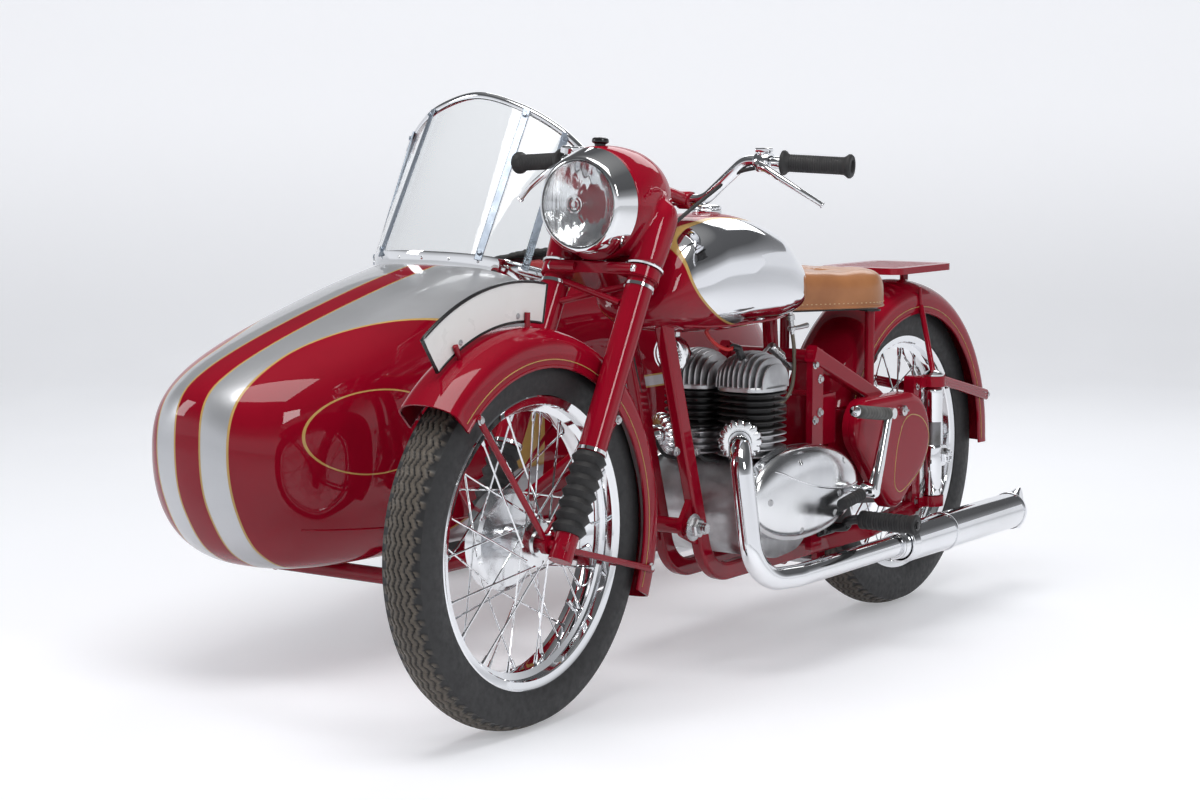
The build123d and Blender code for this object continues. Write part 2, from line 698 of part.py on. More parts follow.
# Exhausts
with BuildPart() as exhaust_pipes:
    for hand in (-1, 1):
        with BuildLine() as pipe_route:
            FilletPolyline(
                port(hand), pipe_bend(hand), at(hand * 168, -160, silencer_z + 4),
                at(hand * silencer_x, -40, silencer_z), at(hand * silencer_x, 345, silencer_z),
                radius=[52, 75, 100])
        with BuildSketch(Plane(origin=pipe_route.line @ 0, z_dir=pipe_route.line % 0)) as pipe_section:
            Circle(exhaust_r)
        sweep(sections=pipe_section.sketch, path=pipe_route.line)
finish(exhaust_pipes, "exhaust_pipes")

nut_r = 31.0
with BuildPart() as exhaust_nuts:
    for hand in (-1, 1):
        inner = Vector(*port(hand))
        way = (Vector(*pipe_bend(hand)) - inner).normalized()
        rod(tuple(inner), tuple(inner + way * 24), nut_r)
        rod(tuple(inner - way * 4), tuple(inner + way * 26), exhaust_r + seat_gap, Mode.SUBTRACT)
finish(exhaust_nuts, "exhaust_nuts")

silencer_start = 345.0
silencer_end = 896.0
tail_end = 940.0
with BuildPart() as silencers:
    for hand in (-1, 1):
        start = Plane(origin=at(hand * silencer_x, 0, silencer_z), x_dir=(0, 1, 0), z_dir=(1, 0, 0))
        with BuildSketch(start) as barrel:
            with BuildLine():
                Polyline((silencer_start + seat_gap, 0), (silencer_start + seat_gap, exhaust_r + 2),
                         (silencer_start + 50, silencer_r), (silencer_end, silencer_r), (silencer_end, 0), close=True)
            make_face()
        revolve(profiles=barrel.sketch, axis=Axis(start.origin, start.x_dir))
        with BuildSketch(across(silencer_end)) as round_end:
            with Locations((hand * silencer_x, silencer_z)):
                Ellipse(silencer_r - 1, silencer_r - 0.5)
        with BuildSketch(across(tail_end)) as flat_end:
            with Locations((hand * silencer_x, silencer_z)):
                Ellipse(13, 47)
        loft(sections=[round_end.sketch, flat_end.sketch])
finish(silencers, "silencers")

# Tank: sections from the steering head back
tank_back = 48.0
cap_y, cap_z, cap_r = -67.0, 868.0, 29.0
tank_sections = [
    (-345, 78, 690, 812), (-290, 104, 664, 846), (-190, 126, 650, 864), (-90, 132, 646, 869),
    (30, 118, 650, 848), (115, 84, 664, 800), (168, 34, 690, 748)]
with BuildPart() as fuel_tank:
    faces = [rounded_section(across(y), half, low, high, 2.5) for y, half, low, high in tank_sections]
    loft(sections=faces)
    front_cut = Plane(origin=fork_point(0, tank_back, 560), x_dir=(1, 0, 0), z_dir=(0, rake_cos, -rake_sin))
    split(bisect_by=front_cut, keep=Keep.TOP)
    with BuildSketch(level(600)) as tunnel:
        with Locations((0, -280)):
            Rectangle(2 * down_tube_x + frame_tube_width + 2 * seat_gap, 140)
    extrude(to_extrude=tunnel.sketch, amount=202, mode=Mode.SUBTRACT)
    with BuildSketch(level(600)) as slot:
        with Locations((0, 0)):
            Rectangle(top_tube_width + 2 * seat_gap, 460)
    extrude(to_extrude=slot.sketch, amount=154, mode=Mode.SUBTRACT)
finish(fuel_tank, "fuel_tank")

with BuildPart() as filler_cap:
    rod(at(0, cap_y, cap_z), at(0, cap_y, cap_z + 16), cap_r)
finish(filler_cap, "filler_cap")

with BuildPart() as saddle:
    with BuildSketch(level(672)) as pan:
        with Locations((0, 245)):
            Circle(50)
        with Locations((-56, 385), (56, 385)):
            Circle(75)
        make_hull()
    extrude(to_extrude=pan.sketch, amount=70)
    fillet(saddle.faces().sort_by(Axis.Z)[-1].edges(), 26)
finish(saddle, "saddle")

# Rear fender
rear_fender_r = rear_tyre_r + 40
with BuildPart() as rear_fender:
    sweep_fender(rear_place, rear_fender_r, rear_fender_half, 66, fender_wall, 100, 92)
    with BuildSketch(level(270)) as chain_gap:
        with Locations((60, 340)):
            Rectangle(44, 150)
    extrude(to_extrude=chain_gap.sketch, amount=190, mode=Mode.SUBTRACT)
    for hand in (-1, 1):
        rod(at(hand * plunger_x, plunger_y, 507), at(hand * (rear_fender_half - 1), 675, 645), 6)
        rod(at(hand * (plunger_x - 4), 680, 493), at(hand * (rear_fender_half - 1), 990, 430), 8)
finish(rear_fender, "rear_fender")

with BuildPart() as rack:
    with BuildSketch(level(722)) as plate:
        with Locations((0, 660)):
            RectangleRounded(190, 265, 30)
            with GridLocations(0, 30, 1, 7):
                SlotOverall(150, 12, mode=Mode.SUBTRACT)
    extrude(to_extrude=plate.sketch, amount=14)
    for post_y in (590, 740):
        crown_z = rear_tyre_r + math.sqrt(rear_fender_r ** 2 - (abs(post_y - rear_y) - 9) ** 2)
        rod(at(0, post_y, crown_z + seat_gap), at(0, post_y, 723), 9)
finish(rack, "rack")

with BuildPart() as tail_lamp:
    foot_y, foot_z = on_wheel(rear_place, rear_fender_r + seat_gap, -55)
    head_y, head_z = on_wheel(rear_place, rear_fender_r + 34, -55)
    rod(at(0, foot_y, foot_z), at(0, head_y, head_z), 22)
finish(tail_lamp, "tail_lamp")

box_x = post_x + rail_width / 2 + seat_gap
box_out_x = 152.0
with BuildPart() as tool_boxes:
    for hand in (-1, 1):
        start = box_x if hand > 0 else -box_out_x
        with BuildSketch(side(start)) as outline:
            with Locations((320, 430)):
                Circle(55)
            with Locations((492, 390)):
                Circle(94)
            with Locations((440, 290)):
                Circle(42)
            make_hull()
        extrude(to_extrude=outline.sketch, amount=box_out_x - box_x)
    for outer in (0, -1):
        fillet(tool_boxes.faces().sort_by(Axis.X)[outer].edges(), 12)
finish(tool_boxes, "tool_boxes")

with BuildPart() as battery_box:
    with BuildSketch(level(400)) as outline:
        with Locations((0, 233)):
            RectangleRounded(2 * (post_x - 7 - seat_gap), 100, 10)
    extrude(to_extrude=outline.sketch, amount=100)
finish(battery_box, "battery_box")

engine_sprocket = (215, 325, 38)
with BuildPart() as chain:
    with BuildSketch(side(sprocket_x - 5)) as loop:
        with Locations(engine_sprocket[:2]):
            Circle(engine_sprocket[2] + 12)
        with Locations((rear_y, rear_tyre_r)):
            Circle(sprocket_r + 12.6)
        make_hull()
    extrude(to_extrude=loop.sketch, amount=10)
    with BuildSketch(side(sprocket_x - 5)) as inside:
        with Locations(engine_sprocket[:2]):
            Circle(engine_sprocket[2])
        with Locations((rear_y, rear_tyre_r)):
            Circle(sprocket_r + 0.6)
        make_hull()
    extrude(to_extrude=inside.sketch, amount=10, mode=Mode.SUBTRACT)
finish(chain, "drive_chain")

with BuildPart() as horn:
    rod(at(0, -196, 608), at(0, -150, 608), 36)
    rod(at(0, -172, 608), at(0, -172, 686), 9)
finish(horn, "horn")

with BuildPart() as foot_controls:
    tube([at(shaft_in_x + seat_gap, kick_y, kick_z), at(204, kick_y, kick_z), at(204, 292, 461)], kick_r, 14)
    rod(at(204, 300, 461), at(204, 150, 482), 13)
    rod(at(180, kick_y, kick_z), at(192, kick_y, kick_z), 14)
    rod(at(186, kick_y, kick_z - 4), at(190, 205, 311), gear_r)
    rod(at(190, 212, 312), at(190, 128, 300), 12)
finish(foot_controls, "foot_controls")

with BuildPart() as footrests:
    rod(at(-290, 226, 236), at(290, 226, 236), 10)
    for hand in (-1, 1):
        with Locations(at(hand * 242, 226, 257)):
            Box(125, 42, 34)
        with BuildSketch(side(hand * (post_x + 7 + seat_gap + 4) - 4)) as clamp:
            with Locations((226, 236), (188, 236)):
                Circle(15)
            make_hull()
        extrude(to_extrude=clamp.sketch, amount=8)
finish(footrests, "footrests")

# Centre stand, folded up
stand_x = 68.0
stand_reach = 165.0
with BuildPart() as centre_stand:
    rod(at(-stand_x - 7, stand_y, stand_z), at(stand_x + 7, stand_y, stand_z), stand_pin_r)
    for hand in (-1, 1):
        with BuildSketch(side(hand * stand_x - 6)) as leg:
            with Locations((stand_y, stand_z)):
                Circle(13)
            with Locations((stand_y + stand_reach - 10, stand_z - 4)):
                Circle(9)
            make_hull()
        extrude(to_extrude=leg.sketch, amount=12)
    rod(at(-stand_x, stand_y + 48, stand_z - 2), at(stand_x, stand_y + 48, stand_z - 2), 7)
finish(centre_stand, "centre_stand")

# Sidecar body: y, half width, lowest and highest point of each section
body_sections = [
    (sidecar_nose_y, 24, 420, 470, 2.0), (-805, 66, 378, 512, 2.1), (-784, 112, 322, 551, 2.3),
    (-722, 168, 243, 588, 2.6), (-640, 204, 208, 619, 2.8), (-520, 226, 198, 656, 3.0),
    (-380, 236, sidecar_low, 694, 3.2), (-240, 239, sidecar_low, 728, 3.5), (-100, sidecar_half, sidecar_low, 756, 3.8),
    (60, sidecar_half, sidecar_low, 762, 3.8), (220, sidecar_half, sidecar_low, 763, 3.8),
    (380, sidecar_half, sidecar_low, 758, 3.8), (540, 237, 197, 744, 3.5), (700, 229, 203, 714, 3.1),
    (860, 205, 218, 664, 2.9), (990, 158, 252, 594, 2.6), (1060, 104, 300, 530, 2.3),
    (1084, 60, 345, 482, 2.1), (sidecar_tail_y, 24, 385, 440, 2.0)]
with BuildPart() as body_outer:
    loft(sections=[rounded_section(across(y), half, low, high, power, sidecar_x)
                   for y, half, low, high, power in body_sections])
with BuildPart() as body_inner:
    loft(sections=[rounded_section(across(y), half - sidecar_wall, low + sidecar_wall, high - sidecar_wall,
                                   power, sidecar_x)
                   for y, half, low, high, power in body_sections[2:-2]])
cockpit_front = -70.0
cockpit_rear = 430.0
with BuildPart() as sidecar_body:
    add(body_outer.part)
    add(body_inner.part, mode=Mode.SUBTRACT)
    with BuildSketch(level(560)) as opening:
        with Locations((sidecar_x, (cockpit_front + cockpit_rear) / 2)):
            RectangleRounded(380, cockpit_rear - cockpit_front, 120)
    extrude(to_extrude=opening.sketch, amount=240, mode=Mode.SUBTRACT)
finish(sidecar_body, "sidecar_body")

# Windscreen: a sheet ruled between its foot on the body and the arch above it.
# Points are offset from the sidecar's centre plane, y and z, from the middle outwards
foot_half = [(0, -125, 772), (137, -96, 764), (222, 0, 732)]
arch_half = [(0, 58, 1093), (109, 66, 1067), (183, 90, 1024), (230, 112, 978)]
arch_r = 8.5
glass_wall = 4.0
strut_width = 16.0
strut_depth = 3.0
band_wall = 2.5


def both_sides(half, out=0.0, rise=0.0):
    # the half curve mirrored onto the far side, moved outwards and up
    right = [(-x - (out if x else 0), y - out, z + rise) for x, y, z in half[:0:-1]]
    left = [(x + (out if x else 0), y - out, z + rise) for x, y, z in half]
    return [at(sidecar_x + x, y, z) for x, y, z in right + left]


def ruled(low_points, high_points):
    low_edge = Edge.make_spline([Vector(*point) for point in low_points])
    high_edge = Edge.make_spline([Vector(*point) for point in high_points])
    return Face.make_surface_from_curves(low_edge, high_edge), low_edge, high_edge


glass_sheet, foot_edge, arch_edge = ruled(both_sides(foot_half), both_sides(arch_half))
band_sheet, band_low, band_high = ruled(both_sides(foot_half, glass_wall + 1, -34), both_sides(foot_half, glass_wall + 1, 8))
with BuildPart() as windscreen_frame:
    with BuildSketch(Plane(origin=arch_edge @ 0, z_dir=arch_edge % 0)) as arch_section:
        Circle(arch_r)
    sweep(sections=arch_section.sketch, path=arch_edge)
    for share in (0.1, 0.27, 0.73, 0.9):
        low, high = foot_edge @ share, arch_edge @ share
        way = (high - low).normalized()
        out = (foot_edge % share).cross(way).normalized()
        out = out if out.Y < 0 else out * -1
        start = low + out * (glass_wall + strut_depth + 0.8) - way * 4
        with BuildSketch(Plane(origin=start, x_dir=out.cross(way), z_dir=way)) as strut:
            Rectangle(strut_width, strut_depth)
        extrude(to_extrude=strut.sketch, amount=(high - low).length)
    thicken(band_sheet, amount=band_wall)
    add(body_outer.part, mode=Mode.SUBTRACT)
finish(windscreen_frame, "windscreen_frame")

with BuildPart() as windscreen:
    thicken(glass_sheet, amount=glass_wall)
    with BuildSketch(Plane(origin=arch_edge @ 0, z_dir=arch_edge % 0)) as arch_groove:
        Circle(arch_r + seat_gap)
    sweep(sections=arch_groove.sketch, path=arch_edge, mode=Mode.SUBTRACT)
    add(body_outer.part, mode=Mode.SUBTRACT)
finish(windscreen, "windscreen")

with BuildPart() as seat:
    with BuildSketch(side(sidecar_x - 185)):
        with BuildLine():
            Polyline((-20, 290), (-20, 400), (280, 385), (340, 735), (410, 735), (385, 290), close=True)
        make_face()
        fillet(vertices(), 30)
    extrude(amount=370)
    with BuildSketch(side(sidecar_x - 140)) as plinth:
        with Locations((140, 250)):
            Rectangle(240, 2 * (250 - sidecar_low - sidecar_wall - 1))
    extrude(to_extrude=plinth.sketch, amount=280)
    inside = rounded_section(across(-40), sidecar_half - 18, sidecar_low + sidecar_wall, 738, 3.8, sidecar_x)
    extrude(to_extrude=inside, amount=-480, mode=Mode.INTERSECT)
finish(seat, "sidecar_seat")

# Sidecar frame
side_tube_z = 170.0
inner_tube_x = sidecar_x + 150
outer_tube_x = sidecar_x - 150
pad_top_z = 232.0
hanger_x = sidecar_x - sidecar_half - 23
with BuildPart() as sidecar_frame:
    for tube_x in (inner_tube_x, outer_tube_x):
        rod(at(tube_x, -420, side_tube_z), at(tube_x, 900, side_tube_z), sidecar_tube_r)
        for pad_y in (-300, 700):
            rod(at(tube_x, pad_y, side_tube_z), at(tube_x, pad_y, pad_top_z), 13)
    for cross_y in (-420, 900):
        rod(at(inner_tube_x + 10, cross_y, side_tube_z), at(outer_tube_x - 10, cross_y, side_tube_z), sidecar_tube_r - 2)
    rod(at(-coupling_x - seat_gap, coupling_y, coupling_z), at(-coupling_x - 26, coupling_y, coupling_z), 20)
    rod(at(-coupling_x - 14, coupling_y, coupling_z), at(inner_tube_x, -300, side_tube_z), 14)
    rear_eye_x = -post_x - rail_width / 2 - seat_gap
    rod(at(rear_eye_x, bracket_y - 4, 268), at(rear_eye_x - 22, bracket_y - 4, 268), 15)
    tube([at(rear_eye_x - 10, bracket_y - 4, 268), at(-300, 575, 264), at(inner_tube_x, 560, side_tube_z)], 13, 60)
    for eye, foot in (((-down_tube_x - frame_tube_width / 2 - seat_gap, -225, 500), (inner_tube_x, -250, side_tube_z)),
                      ((-post_x - 7 - seat_gap, 177, 500), (inner_tube_x, 330, side_tube_z))):
        rod(at(*eye), at(eye[0] - 24, eye[1], eye[2]), 17)
        rod(at(eye[0] - 14, eye[1], eye[2]), at(*foot), 12)
    rod(at(outer_tube_x, side_wheel_y, side_tube_z), at(hanger_x - 8, side_wheel_y, side_tube_z), sidecar_tube_r - 2)
    rod(at(hanger_x, side_wheel_y, side_tube_z - 20), at(hanger_x, side_wheel_y, side_tyre_r + 24), 20)
    rod(at(hanger_x, side_wheel_y, side_tyre_r), at(-track - 62, side_wheel_y, side_tyre_r), axle_r)
    add(body_outer.part, mode=Mode.SUBTRACT)
finish(sidecar_frame, "sidecar_frame")

side_fender_r = side_tyre_r + fender_gap
with BuildPart() as sidecar_fender:
    sweep_fender(side_place, side_fender_r, side_fender_half, 70, fender_wall, 80, 95)
    for angle in (42, -38):
        stay_y, stay_z = on_wheel(side_place, side_fender_r - 55, angle)
        rod(at(side_fender_half - track - 2, stay_y, stay_z), at(sidecar_x - sidecar_half + 20, stay_y, stay_z), 9)
    add(body_outer.part, mode=Mode.SUBTRACT)
finish(sidecar_fender, "sidecar_fender")
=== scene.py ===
import bpy
import bmesh
import math
from mathutils import Vector, Matrix


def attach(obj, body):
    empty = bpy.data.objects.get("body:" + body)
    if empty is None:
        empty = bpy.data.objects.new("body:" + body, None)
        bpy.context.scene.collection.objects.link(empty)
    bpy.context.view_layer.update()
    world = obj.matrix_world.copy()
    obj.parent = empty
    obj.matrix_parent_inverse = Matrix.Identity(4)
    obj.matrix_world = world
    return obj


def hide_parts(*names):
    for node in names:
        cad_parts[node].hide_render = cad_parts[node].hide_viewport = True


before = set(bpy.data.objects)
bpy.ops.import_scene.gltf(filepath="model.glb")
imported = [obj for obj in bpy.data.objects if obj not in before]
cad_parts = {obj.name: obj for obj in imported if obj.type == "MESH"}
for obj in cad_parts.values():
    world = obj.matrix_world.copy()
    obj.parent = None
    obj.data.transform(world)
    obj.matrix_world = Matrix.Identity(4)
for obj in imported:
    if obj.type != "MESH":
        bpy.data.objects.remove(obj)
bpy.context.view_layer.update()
scene = bpy.context.scene

# Places in millimetres: x from the motorcycle's centre plane, y from midway between its axles
BIKE_X, MID_Y = 351.5, -48.75
FRONT = (0, -667.5, 325)
REAR = (0, 667.5, 332)
SIDE = (-1000, 440, 325)
SIDECAR_X = -640.0


def at(x, y, z):
    return Vector((BIKE_X + x, MID_Y + y, z)) / 1000


# Node materials
def new_material(name, color, metallic=0.0, roughness=0.5, coat=0.0, coat_roughness=0.03, specular=0.5):
    mat = bpy.data.materials.new(name)
    mat.use_nodes = True
    shader = mat.node_tree.nodes["Principled BSDF"]
    shader.inputs["Base Color"].default_value = (*color, 1)
    shader.inputs["Metallic"].default_value = metallic
    shader.inputs["Roughness"].default_value = roughness
    shader.inputs["Coat Weight"].default_value = coat
    shader.inputs["Coat Roughness"].default_value = coat_roughness
    shader.inputs["Specular IOR Level"].default_value = specular
    return mat


class Nodes:
    # short hand for wiring one material's nodes
    def __init__(self, mat):
        self.tree = mat.node_tree
        self.shader = self.tree.nodes["Principled BSDF"]

    def add(self, kind, inputs=(), **settings):
        node = self.tree.nodes.new(kind)
        for key, value in settings.items():
            setattr(node, key, value)
        for key, value in dict(inputs).items():
            if isinstance(value, bpy.types.NodeSocket):
                self.tree.links.new(value, node.inputs[key])
            else:
                node.inputs[key].default_value = value
        return node

    def math(self, operation, a, b=0.0, c=0.0, clamp=False):
        node = self.add("ShaderNodeMath", {0: a, 1: b, 2: c}, operation=operation, use_clamp=clamp)
        return node.outputs[0]

    def smooth(self, value, low, high):
        node = self.add("ShaderNodeMapRange", {"Value": value, "From Min": low, "From Max": high})
        node.interpolation_type = "SMOOTHSTEP"
        return node.outputs[0]

    def place(self):
        # object coordinates in metres, split, in the part's frame
        coords = self.add("ShaderNodeTexCoord").outputs["Object"]
        split = self.add("ShaderNodeSeparateXYZ", {0: coords})
        return coords, split.outputs[0], split.outputs[1], split.outputs[2]

    def noise(self, coords, scale, detail=4.0, roughness=0.55):
        node = self.add("ShaderNodeTexNoise", {"Vector": coords, "Scale": scale, "Detail": detail,
                                               "Roughness": roughness})
        return node.outputs["Fac"]

    def spread(self, value, low, high):
        return self.add("ShaderNodeMapRange", {"Value": value, "From Min": 0.3, "From Max": 0.7,
                                               "To Min": low, "To Max": high}).outputs[0]

    def mix(self, factor, a, b):
        node = self.add("ShaderNodeMix", {0: factor}, data_type="RGBA")
        for index, value in ((6, a), (7, b)):
            if isinstance(value, bpy.types.NodeSocket):
                self.tree.links.new(value, node.inputs[index])
            else:
                node.inputs[index].default_value = (*value, 1)
        return node.outputs[2]

    def bump(self, height, strength, distance, onto=None):
        node = self.add("ShaderNodeBump", {"Height": height, "Strength": strength, "Distance": distance})
        if onto is not None:
            self.tree.links.new(onto, node.inputs["Normal"])
        return node.outputs[0]

    def to(self, value, socket):
        self.tree.links.new(value, self.shader.inputs[socket])


def worn(mat, scale, rough_low, rough_high, bump_scale=0, bump_strength=0.0, bump_distance=0.0002,
         tint=None, tint_scale=6.0):
    # roughness mottling, an optional tint and an optional fine bump
    n = Nodes(mat)
    coords = n.place()[0]
    n.to(n.spread(n.noise(coords, scale), rough_low, rough_high), "Roughness")
    if tint:
        base = tuple(n.shader.inputs["Base Color"].default_value)[:3]
        n.to(n.mix(n.smooth(n.noise(coords, tint_scale), 0.35, 0.7), base, tint), "Base Color")
    if bump_scale:
        n.to(n.bump(n.noise(coords, bump_scale), bump_strength, bump_distance), "Normal")
    return mat


RED = (0.30, 0.0028, 0.0165)
RED_DARK = (0.25, 0.0022, 0.0135)
GOLD = (0.55, 0.36, 0.12)
SILVER = (0.56, 0.57, 0.59)


def red_paint(name):
    mat = new_material(name, RED, 0.0, 0.3, 0.7, 0.02, 0.0)
    return worn(mat, 9, 0.22, 0.34, 900, 0.03, 0.00005, RED_DARK, 3)


paint = red_paint("red_paint_look")
chrome = worn(new_material("chrome_look", (0.83, 0.84, 0.86), 1.0, 0.05), 14, 0.02, 0.09, 60, 0.015, 0.0002,
              (0.78, 0.79, 0.80), 5)
polished = worn(new_material("polished_aluminium", (0.80, 0.81, 0.82), 1.0, 0.18), 22, 0.10, 0.26, 260, 0.05,
                0.0002, (0.70, 0.71, 0.73), 9)
cast = worn(new_material("cast_aluminium", (0.62, 0.63, 0.64), 1.0, 0.36), 40, 0.28, 0.48, 1300, 0.25, 0.0002,
            (0.42, 0.42, 0.43), 14)
black_iron = worn(new_material("black_barrel", (0.012, 0.012, 0.013), 0.1, 0.42), 30, 0.34, 0.55, 1500, 0.3, 0.0002,
                  (0.022, 0.021, 0.020), 12)
zinc = worn(new_material("zinc_bolt", (0.62, 0.63, 0.64), 1.0, 0.3), 60, 0.2, 0.38, 900, 0.1, 0.0001,
            (0.45, 0.45, 0.46), 30)
steel = worn(new_material("oiled_steel", (0.24, 0.24, 0.25), 0.9, 0.4), 40, 0.3, 0.5, 900, 0.15, 0.0002,
             (0.12, 0.115, 0.11), 18)
rubber = worn(new_material("black_rubber_look", (0.016, 0.016, 0.017), 0.0, 0.6), 60, 0.5, 0.7, 1800, 0.12, 0.0001,
              (0.026, 0.025, 0.025), 25)
pedal_rubber = worn(new_material("grey_pedal_rubber", (0.11, 0.11, 0.105), 0.0, 0.65), 60, 0.55, 0.75, 1500, 0.15,
                    0.0002, (0.07, 0.068, 0.065), 30)
black_gloss = worn(new_material("black_gloss", (0.012, 0.012, 0.013), 0.0, 0.2), 20, 0.12, 0.28)
plug_red = worn(new_material("plug_lead_red", (0.55, 0.02, 0.02), 0.0, 0.35), 40, 0.28, 0.42)
glass = new_material("clear_glass", (0.97, 0.985, 0.98), 0.0, 0.02)
glass.node_tree.nodes["Principled BSDF"].inputs["Transmission Weight"].default_value = 1.0
glass.node_tree.nodes["Principled BSDF"].inputs["IOR"].default_value = 1.45
worn(glass, 6, 0.0, 0.03)

plate_white = worn(new_material("plate_enamel", (0.84, 0.84, 0.83), 0.0, 0.3), 20, 0.25, 0.35, 300, 0.02, 0.0001,
                   (0.82, 0.82, 0.80), 12)


# Mesh helpers
def add_piece(name, verts, faces, mat, body, smooth=True, replaces=()):
    mesh = bpy.data.meshes.new(name)
    mesh.from_pydata([tuple(v) for v in verts], [], faces)
    mesh.validate()
    obj = bpy.data.objects.new(name, mesh)
    scene.collection.objects.link(obj)
    for one in (mat if isinstance(mat, (list, tuple)) else [mat]):
        mesh.materials.append(one)
    work = bmesh.new()
    work.from_mesh(mesh)
    bmesh.ops.recalc_face_normals(work, faces=work.faces)
    work.to_mesh(mesh)
    work.free()
    mesh.polygons.foreach_set("use_smooth", [smooth] * len(mesh.polygons))
    if smooth:
        mesh.set_sharp_from_angle(angle=math.radians(38))
    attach(obj, body)
    if replaces:
        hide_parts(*replaces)
    return obj


class Build:
    # collects vertices and faces of one piece, millimetres in the working frame
    def __init__(self):
        self.verts, self.faces = [], []

    def grid(self, rows, close_rows=False, close_columns=False, caps=False):
        start = len(self.verts)
        count, width = len(rows), len(rows[0])
        for row in rows:
            self.verts.extend(row)
        for i in range(count if close_rows else count - 1):
            for j in range(width if close_columns else width - 1):
                a = start + i * width + j
                b = start + i * width + (j + 1) % width
                c = start + ((i + 1) % count) * width + (j + 1) % width
                d = start + ((i + 1) % count) * width + j
                self.faces.append((a, b, c, d))
        if caps:
            self.faces.append(tuple(start + j for j in range(width)))
            self.faces.append(tuple(start + (count - 1) * width + j for j in range(width)))
        return start

    def lathe(self, profile, centre, axis=(1, 0, 0), segments=96, closed=False):
        # profile is (along the axis, radius) in millimetres
        axis = Vector(axis).normalized()
        u = axis.orthogonal().normalized()
        v = axis.cross(u)
        centre = at(*centre)
        rows = []
        for k in range(segments):
            turn = 2 * math.pi * k / segments
            out = u * math.cos(turn) + v * math.sin(turn)
            rows.append([centre + (axis * a + out * r) / 1000 for a, r in profile])
        self.grid(rows, close_rows=True, close_columns=closed)

    def rod(self, start, end, radius, sides=14, end_radius=None):
        a, b = at(*start), at(*end)
        axis = (b - a).normalized()
        u = axis.orthogonal().normalized()
        v = axis.cross(u)
        rows = []
        for point, r in ((a, radius), (b, radius if end_radius is None else end_radius)):
            rows.append([point + (u * math.cos(2 * math.pi * k / sides) + v * math.sin(2 * math.pi * k / sides))
                         * r / 1000 for k in range(sides)])
        self.grid(rows, close_columns=True, caps=True)

    def tube(self, points, radius, sides=14, steps=8):
        path = smooth_path([at(*p) for p in points], steps)
        rows, normal = [], None
        for index, point in enumerate(path):
            ahead = path[min(index + 1, len(path) - 1)] - path[max(index - 1, 0)]
            ahead.normalize()
            if normal is None:
                normal = ahead.orthogonal().normalized()
            normal = (normal - ahead * normal.dot(ahead)).normalized()
            other = ahead.cross(normal)
            r = radius(index / (len(path) - 1)) if callable(radius) else radius
            rows.append([point + (normal * math.cos(2 * math.pi * k / sides)
                                  + other * math.sin(2 * math.pi * k / sides)) * r / 1000 for k in range(sides)])
        self.grid(rows, close_columns=True, caps=True)

    def box(self, centre, size, turn=None, round_by=0):
        work = bmesh.new()
        bmesh.ops.create_cube(work, size=1)
        bmesh.ops.scale(work, vec=Vector(size) / 1000, verts=work.verts)
        if round_by:
            bmesh.ops.bevel(work, geom=work.edges[:], offset=round_by / 1000, segments=3, affect="EDGES", profile=0.5)
        if turn:
            bmesh.ops.rotate(work, matrix=turn, verts=work.verts)
        bmesh.ops.translate(work, vec=at(*centre), verts=work.verts)
        start = len(self.verts)
        work.verts.index_update()
        self.verts.extend(v.co.copy() for v in work.verts)
        self.faces.extend(tuple(start + v.index for v in face.verts) for face in work.faces)
        work.free()

    def piece(self, name, mat, body, node_slot, replaces=(), smooth=True):
        return add_piece(name, self.verts, self.faces, mat, body, smooth, replaces)


def smooth_path(points, steps):
    # Catmull-Rom through the given points
    out = []
    last = len(points) - 1
    for i in range(last):
        p0, p1, p2, p3 = points[max(i - 1, 0)], points[i], points[i + 1], points[min(i + 2, last)]
        for k in range(steps):
            t = k / steps
            out.append(0.5 * ((2 * p1) + (p2 - p0) * t + (2 * p0 - 5 * p1 + 4 * p2 - p3) * t * t
                              + (3 * p1 - p0 - 3 * p2 + p3) * t ** 3))
    out.append(points[last].copy())
    return out


def curve_at(table, key, column):
    # monotone cubic through a table's rows, keyed by its first column
    keys = [row[0] for row in table]
    values = [row[column] for row in table]
    if key <= keys[0]:
        return values[0]
    if key >= keys[-1]:
        return values[-1]
    i = max(k for k in range(len(keys)) if keys[k] <= key)
    i = min(i, len(keys) - 2)

    def slope(k):
        if k <= 0 or k >= len(keys) - 1:
            j = 0 if k <= 0 else len(keys) - 2
            return (values[j + 1] - values[j]) / (keys[j + 1] - keys[j])
        d0 = (values[k] - values[k - 1]) / (keys[k] - keys[k - 1])
        d1 = (values[k + 1] - values[k]) / (keys[k + 1] - keys[k])
        return 0.0 if d0 * d1 <= 0 else 2 * d0 * d1 / (d0 + d1)

    h = keys[i + 1] - keys[i]
    t = (key - keys[i]) / h
    return (values[i] * (2 * t ** 3 - 3 * t * t + 1) + slope(i) * h * (t ** 3 - 2 * t * t + t)
            + values[i + 1] * (3 * t * t - 2 * t ** 3) + slope(i + 1) * h * (t ** 3 - t * t))


def superellipse(half, low, high, power, count, x=0.0):
    ring = []
    for k in range(count):
        turn = 2 * math.pi * k / count
        c, s = math.cos(turn), math.sin(turn)
        ring.append((x + half * math.copysign(abs(c) ** (2 / power), c),
                     (low + high) / 2 + (high - low) / 2 * math.copysign(abs(s) ** (2 / power), s)))
    return ring


